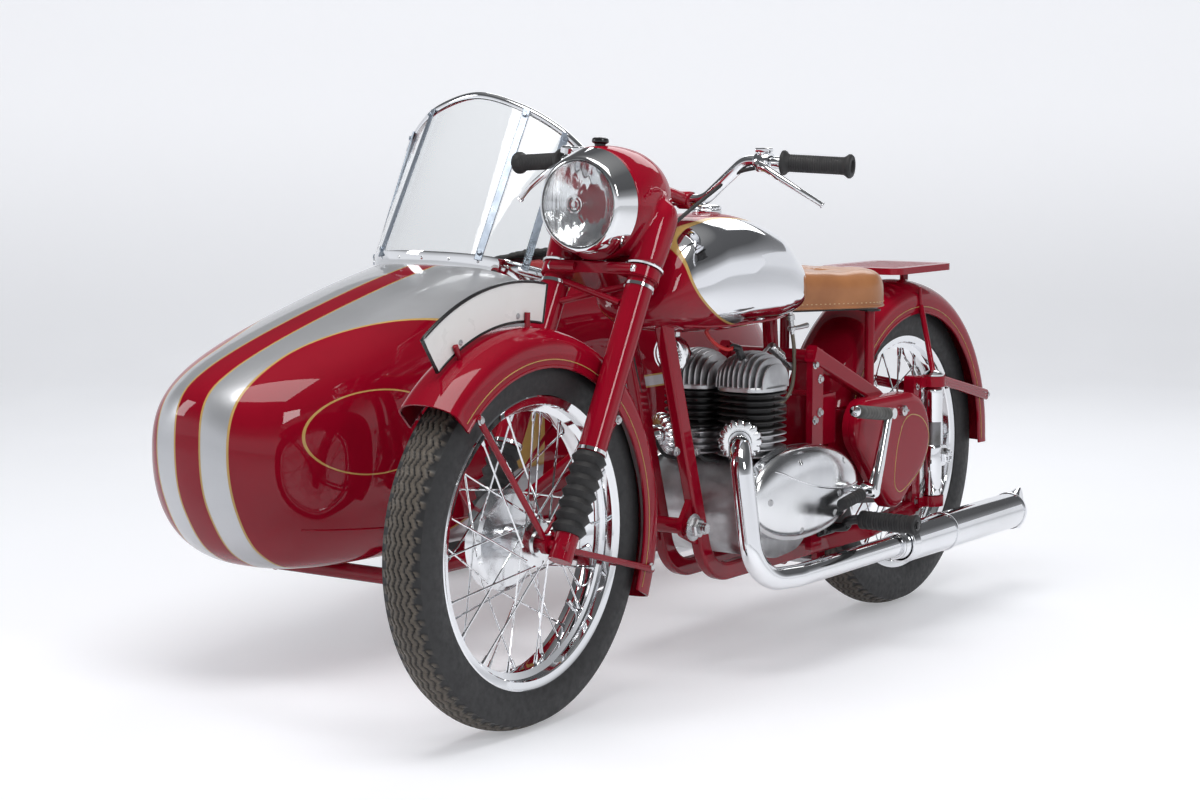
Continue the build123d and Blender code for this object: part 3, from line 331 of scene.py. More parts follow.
# Tyres with a zigzag tread
tyre_look = new_material("tyre_look", (0.02, 0.02, 0.02), 0.0, 0.6)
n = Nodes(tyre_look)
coords = n.place()[0]
wear = n.add("ShaderNodeAttribute", attribute_name="wear").outputs["Fac"]
dust = n.math("MULTIPLY", wear, n.spread(n.noise(coords, 120), 0.55, 1.0))
n.to(n.mix(dust, (0.019, 0.019, 0.020), (0.135, 0.112, 0.088)), "Base Color")
n.to(n.spread(n.noise(coords, 90), 0.45, 0.68), "Roughness")
n.to(n.bump(n.noise(coords, 1400), 0.15, 0.0002), "Normal")


def make_tyre(name, place, outer_r, half, body, node):
    lip_r, tread_half, shoulder_r = 253.0, half * 0.72, outer_r - 8.5
    profile = []
    for k in range(11):
        t = k / 10
        turn = math.radians(-38 + 86 * t)
        profile.append((half - 9 + 9 * math.cos(math.radians(-70 + 128 * t)), lip_r + (shoulder_r - 4 - lip_r) * t))
    side = [(29, 241.5), (31, lip_r - 1)] + profile
    crown = []
    count = 26
    for k in range(count + 1):
        x = tread_half * (1 - 2 * k / count)
        crown.append((x, outer_r - 8.5 * (abs(x) / tread_half) ** 2.2))
    ring = side + crown + [(-x, r) for x, r in side[::-1]]
    turns = 720
    waves = 72
    rows, wear_values = [], []
    for i in range(turns):
        turn = 2 * math.pi * i / turns
        phase = (turn * waves / (2 * math.pi)) % 1.0
        zig = abs(phase * 2 - 1) * 2 - 1
        row = []
        for x, r in ring:
            depth, top = 0.0, 0.0
            if r > shoulder_r - 3:
                shift = x + zig * 3.2
                cell = (shift / 11.5) % 1.0
                groove = abs(cell - 0.5) < 0.15
                tooth = abs(x) > tread_half * 0.8 and phase < 0.34
                depth = 3.0 if groove or tooth else 0.0
                top = 0.0 if groove or tooth else 1.0
            wear_values.append(top)
            r -= depth
            row.append(at(place[0] + x, place[1] + r * math.sin(turn), place[2] + r * math.cos(turn)))
        rows.append(row)
    build = Build()
    build.grid(rows, close_rows=True, close_columns=True)
    obj = build.piece(name, tyre_look, body, "tyre", (node,))
    attribute = obj.data.attributes.new("wear", "FLOAT", "POINT")
    attribute.data.foreach_set("value", wear_values)
    return obj


make_tyre("tyre_front", FRONT, 325, 44, "front_wheel", "front_tyre")
make_tyre("tyre_rear", REAR, 332, 48, "rear_wheel", "rear_tyre")
make_tyre("tyre_side", SIDE, 325, 44, "sidecar_wheel", "sidecar_tyre")


# Chromed rims and spokes
def make_rim(name, place, left, right, body, node):
    build = Build()
    rim = [(-40, 251), (-38.5, 253.2), (-36, 253), (-34.5, 250), (-33, 241.5), (-30, 240), (-16, 240), (-12, 228),
           (12, 228), (16, 240), (30, 240), (33, 241.5), (34.5, 250), (36, 253), (38.5, 253.2), (40, 251),
           (38.5, 247), (36.5, 238), (34, 236), (19, 236), (15, 224.5), (8, 223), (-8, 223), (-15, 224.5), (-19, 236),
           (-34, 236), (-36.5, 238), (-38.5, 247)]
    build.lathe(rim, place, segments=160, closed=True)
    for flange_side, (flange_x, flange_r) in ((1, left), (-1, right)):
        for index in range(18):
            lead = 1 if index % 2 else -1
            foot = math.radians(20 * index + (10 if flange_side > 0 else 0))
            head = foot + math.radians(60) * lead
            x0, x1 = flange_side * flange_x + lead * 3, flange_side * 7
            start = Vector((place[0] + x0, place[1] + (flange_r - 2) * math.sin(foot),
                            place[2] + (flange_r - 2) * math.cos(foot)))
            end = Vector((place[0] + x1, place[1] + 226 * math.sin(head), place[2] + 226 * math.cos(head)))
            way = (end - start).normalized()
            build.rod(start, end - way * 3, 1.75, 8)
            build.rod(end - way * 20, end, 2.9, 8, 3.6)
            build.rod(start - way * 1, start + way * 5, 2.8, 8, 1.9)
    build.rod((place[0] + 3, place[1] + 226 * math.sin(2.3), place[2] + 226 * math.cos(2.3)),
              (place[0] + 3, place[1] + 190 * math.sin(2.3), place[2] + 190 * math.cos(2.3)), 4, 12)
    return build.piece(name, chrome, body, "chrome", (node,))


make_rim("rim_front", FRONT, (37, 42), (26, 88), "front_wheel", "front_rim")
make_rim("rim_rear", REAR, (37, 42), (26, 88), "rear_wheel", "rear_rim")
make_rim("rim_side", SIDE, (37, 42), (37, 42), "sidecar_wheel", "sidecar_rim")


# Joining and cutting of whole meshes
def loose(name, build, mat=None):
    mesh = bpy.data.meshes.new(name)
    mesh.from_pydata([tuple(v) for v in build.verts], [], build.faces)
    work = bmesh.new()
    work.from_mesh(mesh)
    bmesh.ops.recalc_face_normals(work, faces=work.faces)
    work.to_mesh(mesh)
    work.free()
    if mat:
        mesh.materials.append(mat)
    obj = bpy.data.objects.new(name, mesh)
    scene.collection.objects.link(obj)
    return obj


def apply_modifiers(obj, sharp=38):
    bpy.context.view_layer.update()
    done = bpy.data.meshes.new_from_object(obj.evaluated_get(bpy.context.evaluated_depsgraph_get()))
    obj.modifiers.clear()
    obj.data = done
    done.polygons.foreach_set("use_smooth", [True] * len(done.polygons))
    done.set_sharp_from_angle(angle=math.radians(sharp))


def boolean(obj, other, operation="DIFFERENCE", sharp=38):
    modifier = obj.modifiers.new("cut", "BOOLEAN")
    modifier.operation = operation
    modifier.object = other
    modifier.solver = "EXACT"
    apply_modifiers(obj, sharp)
    bpy.data.objects.remove(other)


def claim(obj, mat, body, replaces=()):
    obj.data.materials.clear()
    obj.data.materials.append(mat)
    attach(obj, body)
    if replaces:
        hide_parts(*replaces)
    return obj


def fork(x, back, s):
    c, q = math.cos(math.radians(28)), math.sin(math.radians(28))
    return (x, -667.5 + (60 + back) * c + s * q, 325 - (60 + back) * q + s * c)


FORK_AXIS = (0, math.sin(math.radians(28)), math.cos(math.radians(28)))


def hex_bolt(build, place, axis, radius=7, head=5, washer=True):
    # a chamfered hexagon head on its washer, its foot at place
    axis = Vector(axis).normalized()
    u = axis.orthogonal().normalized()
    v = axis.cross(u)
    foot = at(*place)
    if washer:
        build.lathe([(-0.5, 0.2), (-0.5, radius * 1.35), (1.2, radius * 1.35), (1.4, radius * 1.2), (1.4, 0.2)], place,
                    axis, 20, closed=True)
    rows = []
    for a, r, sides in ((0, 1.0, 6), (head * 0.8, 1.0, 6), (head, 0.86, 6), (head, 0.3, 6)):
        rows.append([foot + (axis * (a + (1.3 if washer else 0)) + u * (radius * r * math.cos(math.pi * k / 3))
                             + v * (radius * r * math.sin(math.pi * k / 3))) / 1000 for k in range(sides)])
    build.grid(rows, close_columns=True, caps=True)


def slotted_screw(build, place, axis, radius=6):
    axis = Vector(axis).normalized()
    build.lathe([(-1.5, 0.2), (-1.5, radius), (0.8, radius), (1.6, radius * 0.85), (1.6, 0.2)], place, axis, 20,
                closed=True)
    u = axis.orthogonal().normalized()
    way = (u * 0.8 + axis.cross(u) * 0.6) * radius * 0.82
    a = Vector(place) + axis * 1.7
    build.rod(tuple(a - way), tuple(a + way), 0.75, 6)


def loop(build, points, radius, sides=10):
    # a closed bead through points in the working frame
    count = len(points)
    path = [at(*p) for p in points]
    rows = []
    normal = None
    for k in range(count):
        ahead = (path[(k + 1) % count] - path[k - 1]).normalized()
        if normal is None:
            normal = ahead.orthogonal().normalized()
        normal = (normal - ahead * normal.dot(ahead)).normalized()
        other = ahead.cross(normal)
        rows.append([path[k] + (normal * math.cos(2 * math.pi * j / sides)
                                + other * math.sin(2 * math.pi * j / sides)) * radius / 1000 for j in range(sides)])
    start = build.grid(rows, close_columns=True)
    last = start + (count - 1) * sides
    gap = [(build.verts[last] - build.verts[start + j]).length for j in range(sides)]
    turn = gap.index(min(gap))
    for j in range(sides):
        build.faces.append((last + j, last + (j + 1) % sides, start + (j + 1 + turn) % sides, start + (j + turn) % sides))


# Fenders: a crowned channel with a rolled edge
def fender_ring(outer_r, half, depth, wall):
    top = outer_r - half * 0.55
    ring = []
    for k in range(19):
        t = math.pi * k / 18
        ring.append((-half * math.cos(t), top + (outer_r - top) * math.sin(t) ** 0.9))
    ring = [(-half, outer_r - depth)] + ring + [(half, outer_r - depth)]
    roll = [(half + 1.8, outer_r - depth - 1.5), (half + 1.2, outer_r - depth - 5), (half - 2, outer_r - depth - 6),
            (half - wall - 0.8, outer_r - depth - 2)]
    inner = [((half - wall) * math.cos(math.pi * k / 18),
              top - wall * 0.5 + (outer_r - wall - top + wall * 0.5) * math.sin(math.pi * k / 18) ** 0.9)
             for k in range(19)]
    return ring + roll + inner + [(-x, r) for x, r in roll[::-1]]


def fender_shell(build, place, outer_r, half, depth, wall, front, rear, steps):
    ring = fender_ring(outer_r, half, depth, wall)
    rows = []
    for k in range(steps + 1):
        turn = math.radians(front - (front + rear) * k / steps)
        end = min(k, steps - k)
        grow = 1.0 + (0.012 if end == 0 else 0.006 if end == 1 else 0.0)
        rows.append([at(place[0] + x * grow, place[1] - r * math.sin(turn), place[2] + r * math.cos(turn))
                     for x, r in ring])
    start = build.grid(rows, close_columns=True)
    for row in (0, len(rows) - 1):
        base = start + row * len(ring)
        for k in range(20):
            far = len(ring) - 1 - k
            build.faces.append((base + k, base + k + 1, base + far - 1, base + far))


build = Build()
fender_shell(build, FRONT, 368, 61, 62, 3, 45, 114, 150)
for hand in (-1, 1):
    x = hand * 62.7
    build.rod((x, -667.5, 325), (x, -858, 562), 5.5, 12)
    build.rod((x, -667.5, 325), (x, -345, 232), 5.5, 12)
    build.rod((x + hand * 3.5, -660, 325), (x + hand * 3.5, -349, 238), 2.2, 8)
    build.rod((x, -672, 345), (x, -452, 522), 3.2, 10)
    build.lathe([(-6, 9.3), (-6, 16.5), (6, 16.5), (6, 9.3)], (x, -667.5, 325), (1, 0, 0), 28, closed=True)
for angle in (27, -3):
    turn = math.radians(angle)
    a = (7.3, -667.5 - 366 * math.sin(turn), 325 + 366 * math.cos(turn))
    b = (7.3, -667.5 - 392 * math.sin(turn), 325 + 392 * math.cos(turn))
    build.rod(a, b, 5, 12)
build.piece("fender_front", paint, "steering", "red_paint", ("front_fender",))
bolts = Build()
for hand in (-1, 1):
    for y, z in ((-853, 556), (-352, 238), (-458, 517)):
        hex_bolt(bolts, (hand * 64.5, y, z), (hand, 0, 0), 6, 4)
bolts.piece("fender_front_bolts", zinc, "steering", "chrome")

build = Build()
fender_shell(build, REAR, 372, 75, 66, 3, 100, 92, 170)
rear_shell = loose("fender_rear", build)
cutter = Build()
cutter.box((60, 340, 365), (44, 150, 190))
boolean(rear_shell, loose("chain_gap", cutter))
claim(rear_shell, paint, "chassis", ("rear_fender",))
build = Build()
for hand in (-1, 1):
    build.rod((hand * 124, 642, 508), (hand * 77, 672, 650), 6, 12)
    build.rod((hand * 77, 672, 640), (hand * 76, 668, 690), 5, 12, 3)
    a, b = Vector((hand * 120, 680, 493)), Vector((hand * 77, 1000, 428))
    for up in (-7, 0, 7):
        build.rod(tuple(a + Vector((0, 0, up * 0.8))), tuple(b + Vector((0, 0, up))), 5.2, 10)
build.piece("fender_rear_stays", paint, "chassis", "red_paint")
bolts = Build()
for hand in (-1, 1):
    for y, z in ((985, 432), (1003, 428)):
        hex_bolt(bolts, (hand * 78.5, y, z), (hand, 0, 0), 5.5, 3.5)
bolts.piece("fender_rear_bolts", zinc, "chassis", "chrome")

build = Build()
fender_shell(build, SIDE, 368, 75, 70, 3, 80, 95, 130)
for angle in (42, -38):
    turn = math.radians(angle)
    y, z = SIDE[1] - 313 * math.sin(turn), SIDE[2] + 313 * math.cos(turn)
    build.rod((-926, y, z), (-862, y, z), 9)
build.piece("fender_side", paint, "chassis", "red_paint", ("sidecar_fender",))


# Sidecar body: y, half width, lowest and highest point and power of each section
body_table = [
    (-811, 0, 444, 446, 2.0), (-805, 66, 378, 512, 2.1), (-784, 112, 322, 551, 2.3), (-722, 168, 243, 588, 2.6),
    (-640, 204, 208, 619, 2.8), (-520, 226, 198, 656, 3.0), (-380, 236, 196, 694, 3.2), (-240, 239, 196, 728, 3.5),
    (-100, 240, 196, 756, 3.8), (60, 240, 196, 762, 3.8), (220, 240, 196, 763, 3.8), (380, 240, 196, 758, 3.8),
    (540, 237, 197, 744, 3.5), (700, 229, 203, 714, 3.1), (860, 205, 218, 664, 2.9), (990, 158, 252, 594, 2.6),
    (1060, 104, 300, 530, 2.3), (1084, 60, 345, 482, 2.1), (1090, 0, 411, 413, 2.0)]
nose_rows = [(math.sqrt((row[0] + 811) / 711), *row[1:]) for row in body_table if row[0] <= -100]
tail_rows = [(-math.sqrt((1090 - row[0]) / 1190), *row[1:]) for row in body_table if row[0] >= -100]


def body_section(y):
    if y < -100:
        return [curve_at(nose_rows, math.sqrt(max(0.0, (y + 811) / 711)), c) for c in (1, 2, 3, 4)]
    return [curve_at(tail_rows, -math.sqrt(max(0.0, (1090 - y) / 1190)), c) for c in (1, 2, 3, 4)]


def body_rows(inset, first, last, count, around=120):
    rows = []
    for k in range(count + 1):
        t = (1 - math.cos(math.pi * k / count)) / 2
        y = first + (last - first) * t
        half, low, high, power = body_section(y)
        ring = superellipse(max(half - inset, 0.3), low + inset, max(high - inset, low + inset + 0.5), power, around,
                            SIDECAR_X)
        rows.append([at(x, y, z) for x, z in ring])
    return rows


def deck_z(x, y, below=0.0):
    # height of the body's skin above a point of its plan
    half, low, high, power = body_section(y)
    share = min(0.9999, abs(x - SIDECAR_X) / max(half - below, 1))
    return (low + high) / 2 + ((high - low) / 2 - below) * (1 - share ** power) ** (1 / power)


def flank_x(y, z, out=0.0):
    half, low, high, power = body_section(y)
    share = min(0.9999, abs(z - (low + high) / 2) / ((high - low) / 2))
    return (half + out) * (1 - share ** power) ** (1 / power)


sidecar_look = new_material("sidecar_body_paint", RED, 0.0, 0.3, 0.7, 0.02, 0.0)
n = Nodes(sidecar_look)
coords, px, py, pz = n.place()
off = n.math("ABSOLUTE", n.math("SUBTRACT", px, (BIKE_X + SIDECAR_X) / 1000))
along = n.math("SUBTRACT", py, MID_Y / 1000)
band_in = 0.033
widen = n.smooth(along, -0.66, -0.12)
band_out = n.add("ShaderNodeMapRange", {"Value": widen, "To Min": 0.086, "To Max": 0.237}).outputs[0]
edge = 0.0004


def strip(value, low, high):
    return n.math("MULTIPLY", n.smooth(n.math("SUBTRACT", value, low), -edge, edge),
                  n.smooth(n.math("SUBTRACT", high, value), -edge, edge))


front_part = n.math("LESS_THAN", along, -0.04)
silver_mask = n.math("MULTIPLY", strip(off, band_in, band_out), front_part)
gold_in = n.math("MULTIPLY", strip(off, band_in - 0.004, band_in), front_part)
gold_out = n.math("MULTIPLY", strip(off, band_out, n.math("ADD", band_out, 0.004)), front_part)
flank = n.math("GREATER_THAN", off, 0.10)
rear_part = n.math("MULTIPLY", flank, n.math("GREATER_THAN", along, -0.22))
silver_rear = n.math("MULTIPLY", strip(pz, 0.477, 0.498), rear_part)
gold_rear = n.math("MULTIPLY", n.math("ADD", strip(pz, 0.4735, 0.477), strip(pz, 0.498, 0.5015)), rear_part)
oval = n.math("SQRT", n.math("ADD", n.math("POWER", n.math("DIVIDE", n.math("ADD", along, 0.534), 0.163), 2.0),
                             n.math("POWER", n.math("DIVIDE", n.math("SUBTRACT", pz, 0.4685), 0.078), 2.0)))
oval_line = n.math("MULTIPLY", strip(oval, 0.975, 1.008), flank)
silver_all = n.math("MAXIMUM", silver_mask, silver_rear)
gold_all = n.math("MAXIMUM", n.math("MAXIMUM", n.math("MAXIMUM", gold_in, gold_out), gold_rear), oval_line)
red_all = n.mix(n.smooth(n.noise(coords, 3), 0.35, 0.7), RED, RED_DARK)
flake = n.add("ShaderNodeTexVoronoi", {"Vector": coords, "Scale": 2600.0}).outputs["Distance"]
silver_color = n.mix(n.spread(flake, 0.0, 0.5), (0.50, 0.51, 0.53), (0.66, 0.67, 0.69))
n.to(n.mix(gold_all, n.mix(silver_all, red_all, silver_color), GOLD), "Base Color")
n.to(n.math("MULTIPLY", silver_all, 0.6), "Metallic")
n.to(n.math("ADD", n.spread(n.noise(coords, 9), 0.22, 0.32), n.math("MULTIPLY", silver_all, 0.12)), "Roughness")
n.to(n.bump(n.noise(coords, 900), 0.03, 0.00005), "Normal")

build = Build()
build.grid(body_rows(0, -811, 1090, 130), close_columns=True, caps=True)
shell = loose("sidecar_shell", build)
build = Build()
build.grid(body_rows(5, -788, 1068, 90), close_columns=True, caps=True)
boolean(shell, loose("inside", build))
opening = []
for k in range(96):
    turn = 2 * math.pi * k / 96
    c, s = math.cos(turn), math.sin(turn)
    opening.append((SIDECAR_X + 190 * math.copysign(abs(c) ** 0.6, c), 180 + 250 * math.copysign(abs(s) ** 0.6, s)))
build = Build()
build.grid([[at(x, y, z) for x, y in opening] for z in (560, 820)], close_columns=True, caps=True)
boolean(shell, loose("opening", build))
claim(shell, sidecar_look, "chassis", ("sidecar_body",))
build = Build()
loop(build, [(x, y, deck_z(x, y) - 1) for x, y in opening], 7.5, 12)
build.piece("cockpit_beading", rubber, "chassis", "black_rubber")

# A pressed line along each flank
build = Build()
for hand in (-1, 1):
    low = []
    for k in range(61):
        t = k / 60
        y = -690 + 1500 * t
        z = 300 - 34 * math.sin(math.pi * min(1, t * 1.6)) + 20 * t
        low.append((SIDECAR_X + hand * (flank_x(y, z) + 0.2), y, z))
    build.tube(low, 2.4, 8, 1)
build.piece("flank_pressing", paint, "chassis", "red_paint")


# Nacelle: shell of revolution blended into the fork cheeks
LAMP_Z = 895.0


def lamp_lathe(build, profile, segments=96, closed=True):
    build.lathe([(y, r) for y, r in profile], (0, 0, LAMP_Z), (0, 1, 0), segments, closed)


build = Build()
crown = [(-446, 0.2), (-446, 98.4), (-440, 100.2), (-430, 101.5), (-415, 102.5), (-395, 102), (-370, 99.5), (-345, 95), (-320, 86), (-300, 74),
         (-282, 57), (-268, 36), (-260, 14), (-259, 0.2)]
lamp_lathe(build, crown, 96, closed=False)
for hand in (-1, 1):
    rows = []
    for s, r in ((522, 30), (530, 31.5), (560, 33.5), (600, 34.5), (624, 34), (640, 29), (651, 19), (657, 5)):
        centre = at(*fork(hand * 90, -50, s))
        axis = Vector(FORK_AXIS)
        u = Vector((1, 0, 0))
        v = axis.cross(u)
        rows.append([centre + (u * math.cos(2 * math.pi * k / 40) + v * math.sin(2 * math.pi * k / 40)) * r / 1000
                     for k in range(40)])
    build.grid(rows, close_columns=True, caps=True)
    for y, z, x, r in ((-398, 850, 62, 36), (-392, 822, 74, 34), (-398, 880, 76, 26)):
        rows = []
        for i in range(9):
            turn = math.pi * (i + 0.5) / 9
            rows.append([at(hand * x + r * math.sin(turn) * math.cos(2 * math.pi * k / 20),
                            y + r * math.sin(turn) * math.sin(2 * math.pi * k / 20), z + r * math.cos(turn))
                         for k in range(20)])
        build.grid(rows, close_columns=True, caps=True)
nacelle = loose("nacelle_shell", build)
modifier = nacelle.modifiers.new("blend", "REMESH")
modifier.mode = "VOXEL"
modifier.voxel_size = 0.0035
modifier = nacelle.modifiers.new("even", "SMOOTH")
modifier.factor = 0.5
modifier.iterations = 22
apply_modifiers(nacelle, 60)
cutter = Build()
cutter.rod(fork(0, 0, 480), fork(0, 0, 668), 36, 40)
boolean(nacelle, loose("head_bore", cutter), sharp=50)
cutter = Build()
cutter.box((0, -240, 824), (232, 190, 98))
boolean(nacelle, loose("rear_bay", cutter), sharp=50)
cutter = Build()
cutter.box((0, -495.6, LAMP_Z), (260, 99.5, 300))
boolean(nacelle, loose("front_face", cutter), sharp=50)
for hand in (-1, 1):
    cutter = Build()
    cutter.rod(fork(hand * 90, -50, 490), fork(hand * 90, -50, 520.4), 38, 32)
    boolean(nacelle, loose("leg_cut", cutter), sharp=50)
claim(nacelle, paint, "steering", ("nacelle",))

build = Build()
for hand in (-1, 1):
    build.tube([(hand * 44, -300, 915), (hand * 45, -262, 908), (hand * 45, -222, 898)], 12, 20, 6)
    build.lathe([(-13, 11.15), (-13, 15.5), (-11, 16.4), (11, 16.4), (13, 15.5), (13, 11.15)], (hand * 45, -211, 896),
                (1, 0, 0), 32, closed=True)
build.piece("bar_risers", paint, "steering", "red_paint")
build = Build()
for hand in (-1, 1):
    for dx in (-7, 7):
        hex_bolt(build, (hand * 45 + dx, -199, 905), (0, 0.6, 0.8), 4.5, 4)
    hex_bolt(build, (hand * 34, -432, 778), (0, -1, 0), 7, 5)
build.piece("nacelle_bolts", zinc, "steering", "chrome")

# Yoke clamps and the brace between the legs
build = Build()
for hand in (-1, 1):
    a, b = fork(hand * 90, -50, 500), fork(hand * 90, -50, 518)
    build.rod(a, b, 31.5, 40)
    c = Vector(fork(hand * 62, -78, 509))
    build.rod(tuple(c - Vector((26, 0, 0))), tuple(c + Vector((26, 0, 0))), 9, 16)
build.rod(fork(-78, -58, 492), fork(66, -58, 452), 6, 12)
build.rod(fork(78, -52, 492), fork(-66, -52, 452), 6, 12)
build.piece("yoke_clamps", paint, "steering", "red_paint")
build = Build()
for hand in (-1, 1):
    c = Vector(fork(hand * 62, -78, 509))
    hex_bolt(build, tuple(c + Vector((hand * 26, 0, 0))), (hand, 0, 0), 7.5, 5)
    for s in (176, 486):
        build.lathe([(-3, 25.2), (-3, 27), (3, 27), (3, 25.2)], fork(hand * 90, -50, s), FORK_AXIS, 40, closed=True)
    build.lathe([(-2, 26), (-2, 33.5), (1, 35), (3, 33.5), (3, 26)], fork(hand * 90, -50, 523), FORK_AXIS, 40,
                closed=True)
build.piece("fork_bright_rings", chrome, "steering", "chrome")

# Headlamp: bell, reflector, bulb and fluted lens
build = Build()
lamp_lathe(build, [(-484, 73), (-487.5, 75), (-489, 78), (-488, 81.5), (-484.5, 84.5), (-480, 86.5), (-470, 90.5),
                   (-457, 95.2), (-450, 97.6), (-447, 98.6), (-446.4, 98), (-446.4, 96), (-450, 94.6), (-470, 84),
                   (-478, 76.5)], 120)
build.piece("lamp_bell", chrome, "steering", "chrome", ("headlamp_rim",))
build = Build()
lamp_lathe(build, [(-482, 75.5)] + [(-482 + 46 * (1 - (r / 75) ** 2), r) for r in (70, 62, 52, 42, 32, 22, 14, 10)]
           + [(-434, 10), (-432, 14), (-432, 60), (-470, 80), (-480, 77.5)], 72)
build.piece("lamp_reflector", chrome, "steering", "chrome")
build = Build()
lamp_lathe(build, [(-462, 0.2), (-461, 5), (-455, 8.5), (-448, 8.5), (-443, 6), (-436, 6), (-434, 0.2)], 28, closed=False)
build.piece("lamp_bulb", glass, "steering", "glass")
lens_look = new_material("lamp_lens_glass", (0.97, 0.98, 0.98), 0.0, 0.02)
lens_look.node_tree.nodes["Principled BSDF"].inputs["Transmission Weight"].default_value = 1.0
lens_look.node_tree.nodes["Principled BSDF"].inputs["IOR"].default_value = 1.5
n = Nodes(lens_look)
n.to(n.spread(n.noise(n.place()[0], 30), 0.10, 0.18), "Roughness")
build = Build()
rows_front, rows_back = [], []
count = 96
for i in range(25):
    r = 78.5 * i / 24
    front, back = [], []
    for k in range(count):
        turn = 2 * math.pi * k / count
        x, z = r * math.cos(turn), r * math.sin(turn)
        dome = -488.5 - 14 * (1 - (r / 79) ** 2)
        rib = 0.0
        if r < 26:
            rib = 0.9 * math.sin(r * 1.1)
        elif abs(z) < 26:
            rib = 0.7 * math.sin(x * 0.62)
        else:
            rib = 1.0 * math.sin(x * 0.36)
        if r > 74:
            rib = 0.0
        front.append(at(x, dome, LAMP_Z + z))
        back.append(at(x, dome + 4.2 + rib, LAMP_Z + z))
    rows_front.append(front)
    rows_back.append(back)
build.grid([row[:] for row in rows_back[::-1]] + rows_front, close_columns=True)
build.piece("lamp_lens", lens_look, "steering", "glass", ("headlamp_lens",))
build = Build()
build.lathe([(0, 0.2), (0, 9), (7, 10), (10, 15), (13, 15.5), (17, 14), (19, 10), (20, 0.2)], (0, -421, 992),
            (0, 0.1, 1), 28)
build.piece("lamp_knob", black_gloss, "steering", "black_rubber")

# Instrument behind the nacelle
dial_axis = (0, 0.42, 0.9)
build = Build()
build.lathe([(-24, 0.3), (-24, 26), (-6, 33), (2, 34), (4, 34), (4, 0.3)], (0, -262, 905), dial_axis, 56)
build.piece("dial_case", black_gloss, "steering", "black_rubber")
build = Build()
build.lathe([(0, 33), (0, 36), (3, 37), (6, 36), (6, 33.5), (4.6, 32.5), (4.6, 31)], (0, -262, 905), dial_axis, 64,
            closed=True)
build.piece("dial_bezel", chrome, "steering", "chrome")
dial_look = new_material("dial_face", (0.02, 0.02, 0.022), 0.0, 0.35)
n = Nodes(dial_look)
n.to(n.spread(n.noise(n.place()[0], 60), 0.3, 0.5), "Roughness")
ticks = Build()
axis = Vector(dial_axis).normalized()
u = Vector((1, 0, 0))
v = axis.cross(u)
face = Vector((0, -262, 905)) + axis * 4.3
for k in range(25):
    turn = math.radians(-130 + 260 * k / 24)
    way = u * math.sin(turn) + v * math.cos(turn)
    ticks.rod(tuple(face + way * (25 if k % 4 else 22)), tuple(face + way * 29), 0.5 if k % 4 else 0.8, 6)
ticks.rod(tuple(face), tuple(face + (u * -0.55 + v * -0.8) * 22), 0.8, 6)
ticks.lathe([(4.0, 0.2), (4.0, 3), (6.2, 2.6), (6.2, 0.2)], (0, -262, 905), dial_axis, 16)
ticks.piece("dial_marks", plate_white, "steering", "white_enamel")
build = Build()
build.lathe([(4.05, 0.2), (4.05, 31)], (0, -262, 905), dial_axis, 56)
build.piece("dial_face", dial_look, "steering", "black_rubber")

# Grips, levers and their perches
for hand, side_name in ((-1, "right"), (1, "left")):
    inner, outer = (hand * 240, -197, 965.8), (hand * 368.5, -169, 959.8)
    axis = (Vector(outer) - Vector(inner)).normalized()
    profile = [(0, 11.4), (0, 19), (1.5, 22), (5, 22.5), (8, 21), (10.5, 17.5), (14, 16.2)]
    for k in range(22):
        profile += [(16 + k * 4.4, 15.2), (17.2 + k * 4.4, 15.9), (19.2 + k * 4.4, 15.9)]
    profile += [(116, 16.2), (120, 18.5), (124, 21.5), (128, 21.5), (131, 19), (131.4, 12), (126.8, 11), (126.8, 0.3)]
    build = Build()
    build.lathe(profile, inner, axis, 40)
    piece = build.piece("grip_" + side_name, rubber, "steering", "black_rubber")
    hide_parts("grips")
    build = Build()
    x = hand * 205
    build.lathe([(-15, 11.2), (-15, 16), (-12, 18), (12, 18), (15, 16), (15, 11.2)], (x, -199.5, 966.8), (1, 0, 0.02), 32,
                closed=True)
    build.box((x + hand * 2, -204, 988), (30, 16, 9), None, 2.5)
    build.rod((x, -203, 978), (x, -203, 990), 8, 16)
    build.lathe([(-7, 0.3), (-7, 9), (7, 9), (7, 0.3)], (x + hand * 4, -222, 961), (0.1, -0.5, 0.87), 24)
    build.tube([(x + hand * 2, -222, 961), (x + hand * 24, -231, 955), (x + hand * 52, -234, 940),
                (x + hand * 90, -227, 917), (x + hand * 118, -214, 898), (x + hand * 127, -210, 891)],
               lambda t: 8 - 3.4 * min(1, t * 1.3) + (1.8 if t > 0.94 else 0), 14, 8)
    piece = build.piece("lever_" + side_name, chrome, "steering", "chrome")
    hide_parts("hand_levers")
build = Build()
build.tube([(196, -216, 956), (150, -206, 946), (114, -220, 916), (92, -256, 886), (78, -286, 863), (66, -305, 846)],
           3.6, 12, 8)
build.tube([(-196, -216, 956), (-150, -206, 946), (-114, -220, 916), (-92, -256, 886), (-78, -286, 863),
            (-66, -305, 846)], 3.6, 12, 8)
build.piece("bar_cables", rubber, "steering", "black_rubber")
build = Build()
build.lathe([(-7, 0.3), (-7, 12), (-5, 15), (5, 15), (8, 11), (10, 0.3)], (-222, -206, 985), (0.2, 0, 1), 28)
build.piece("bar_switch", chrome, "steering", "chrome")

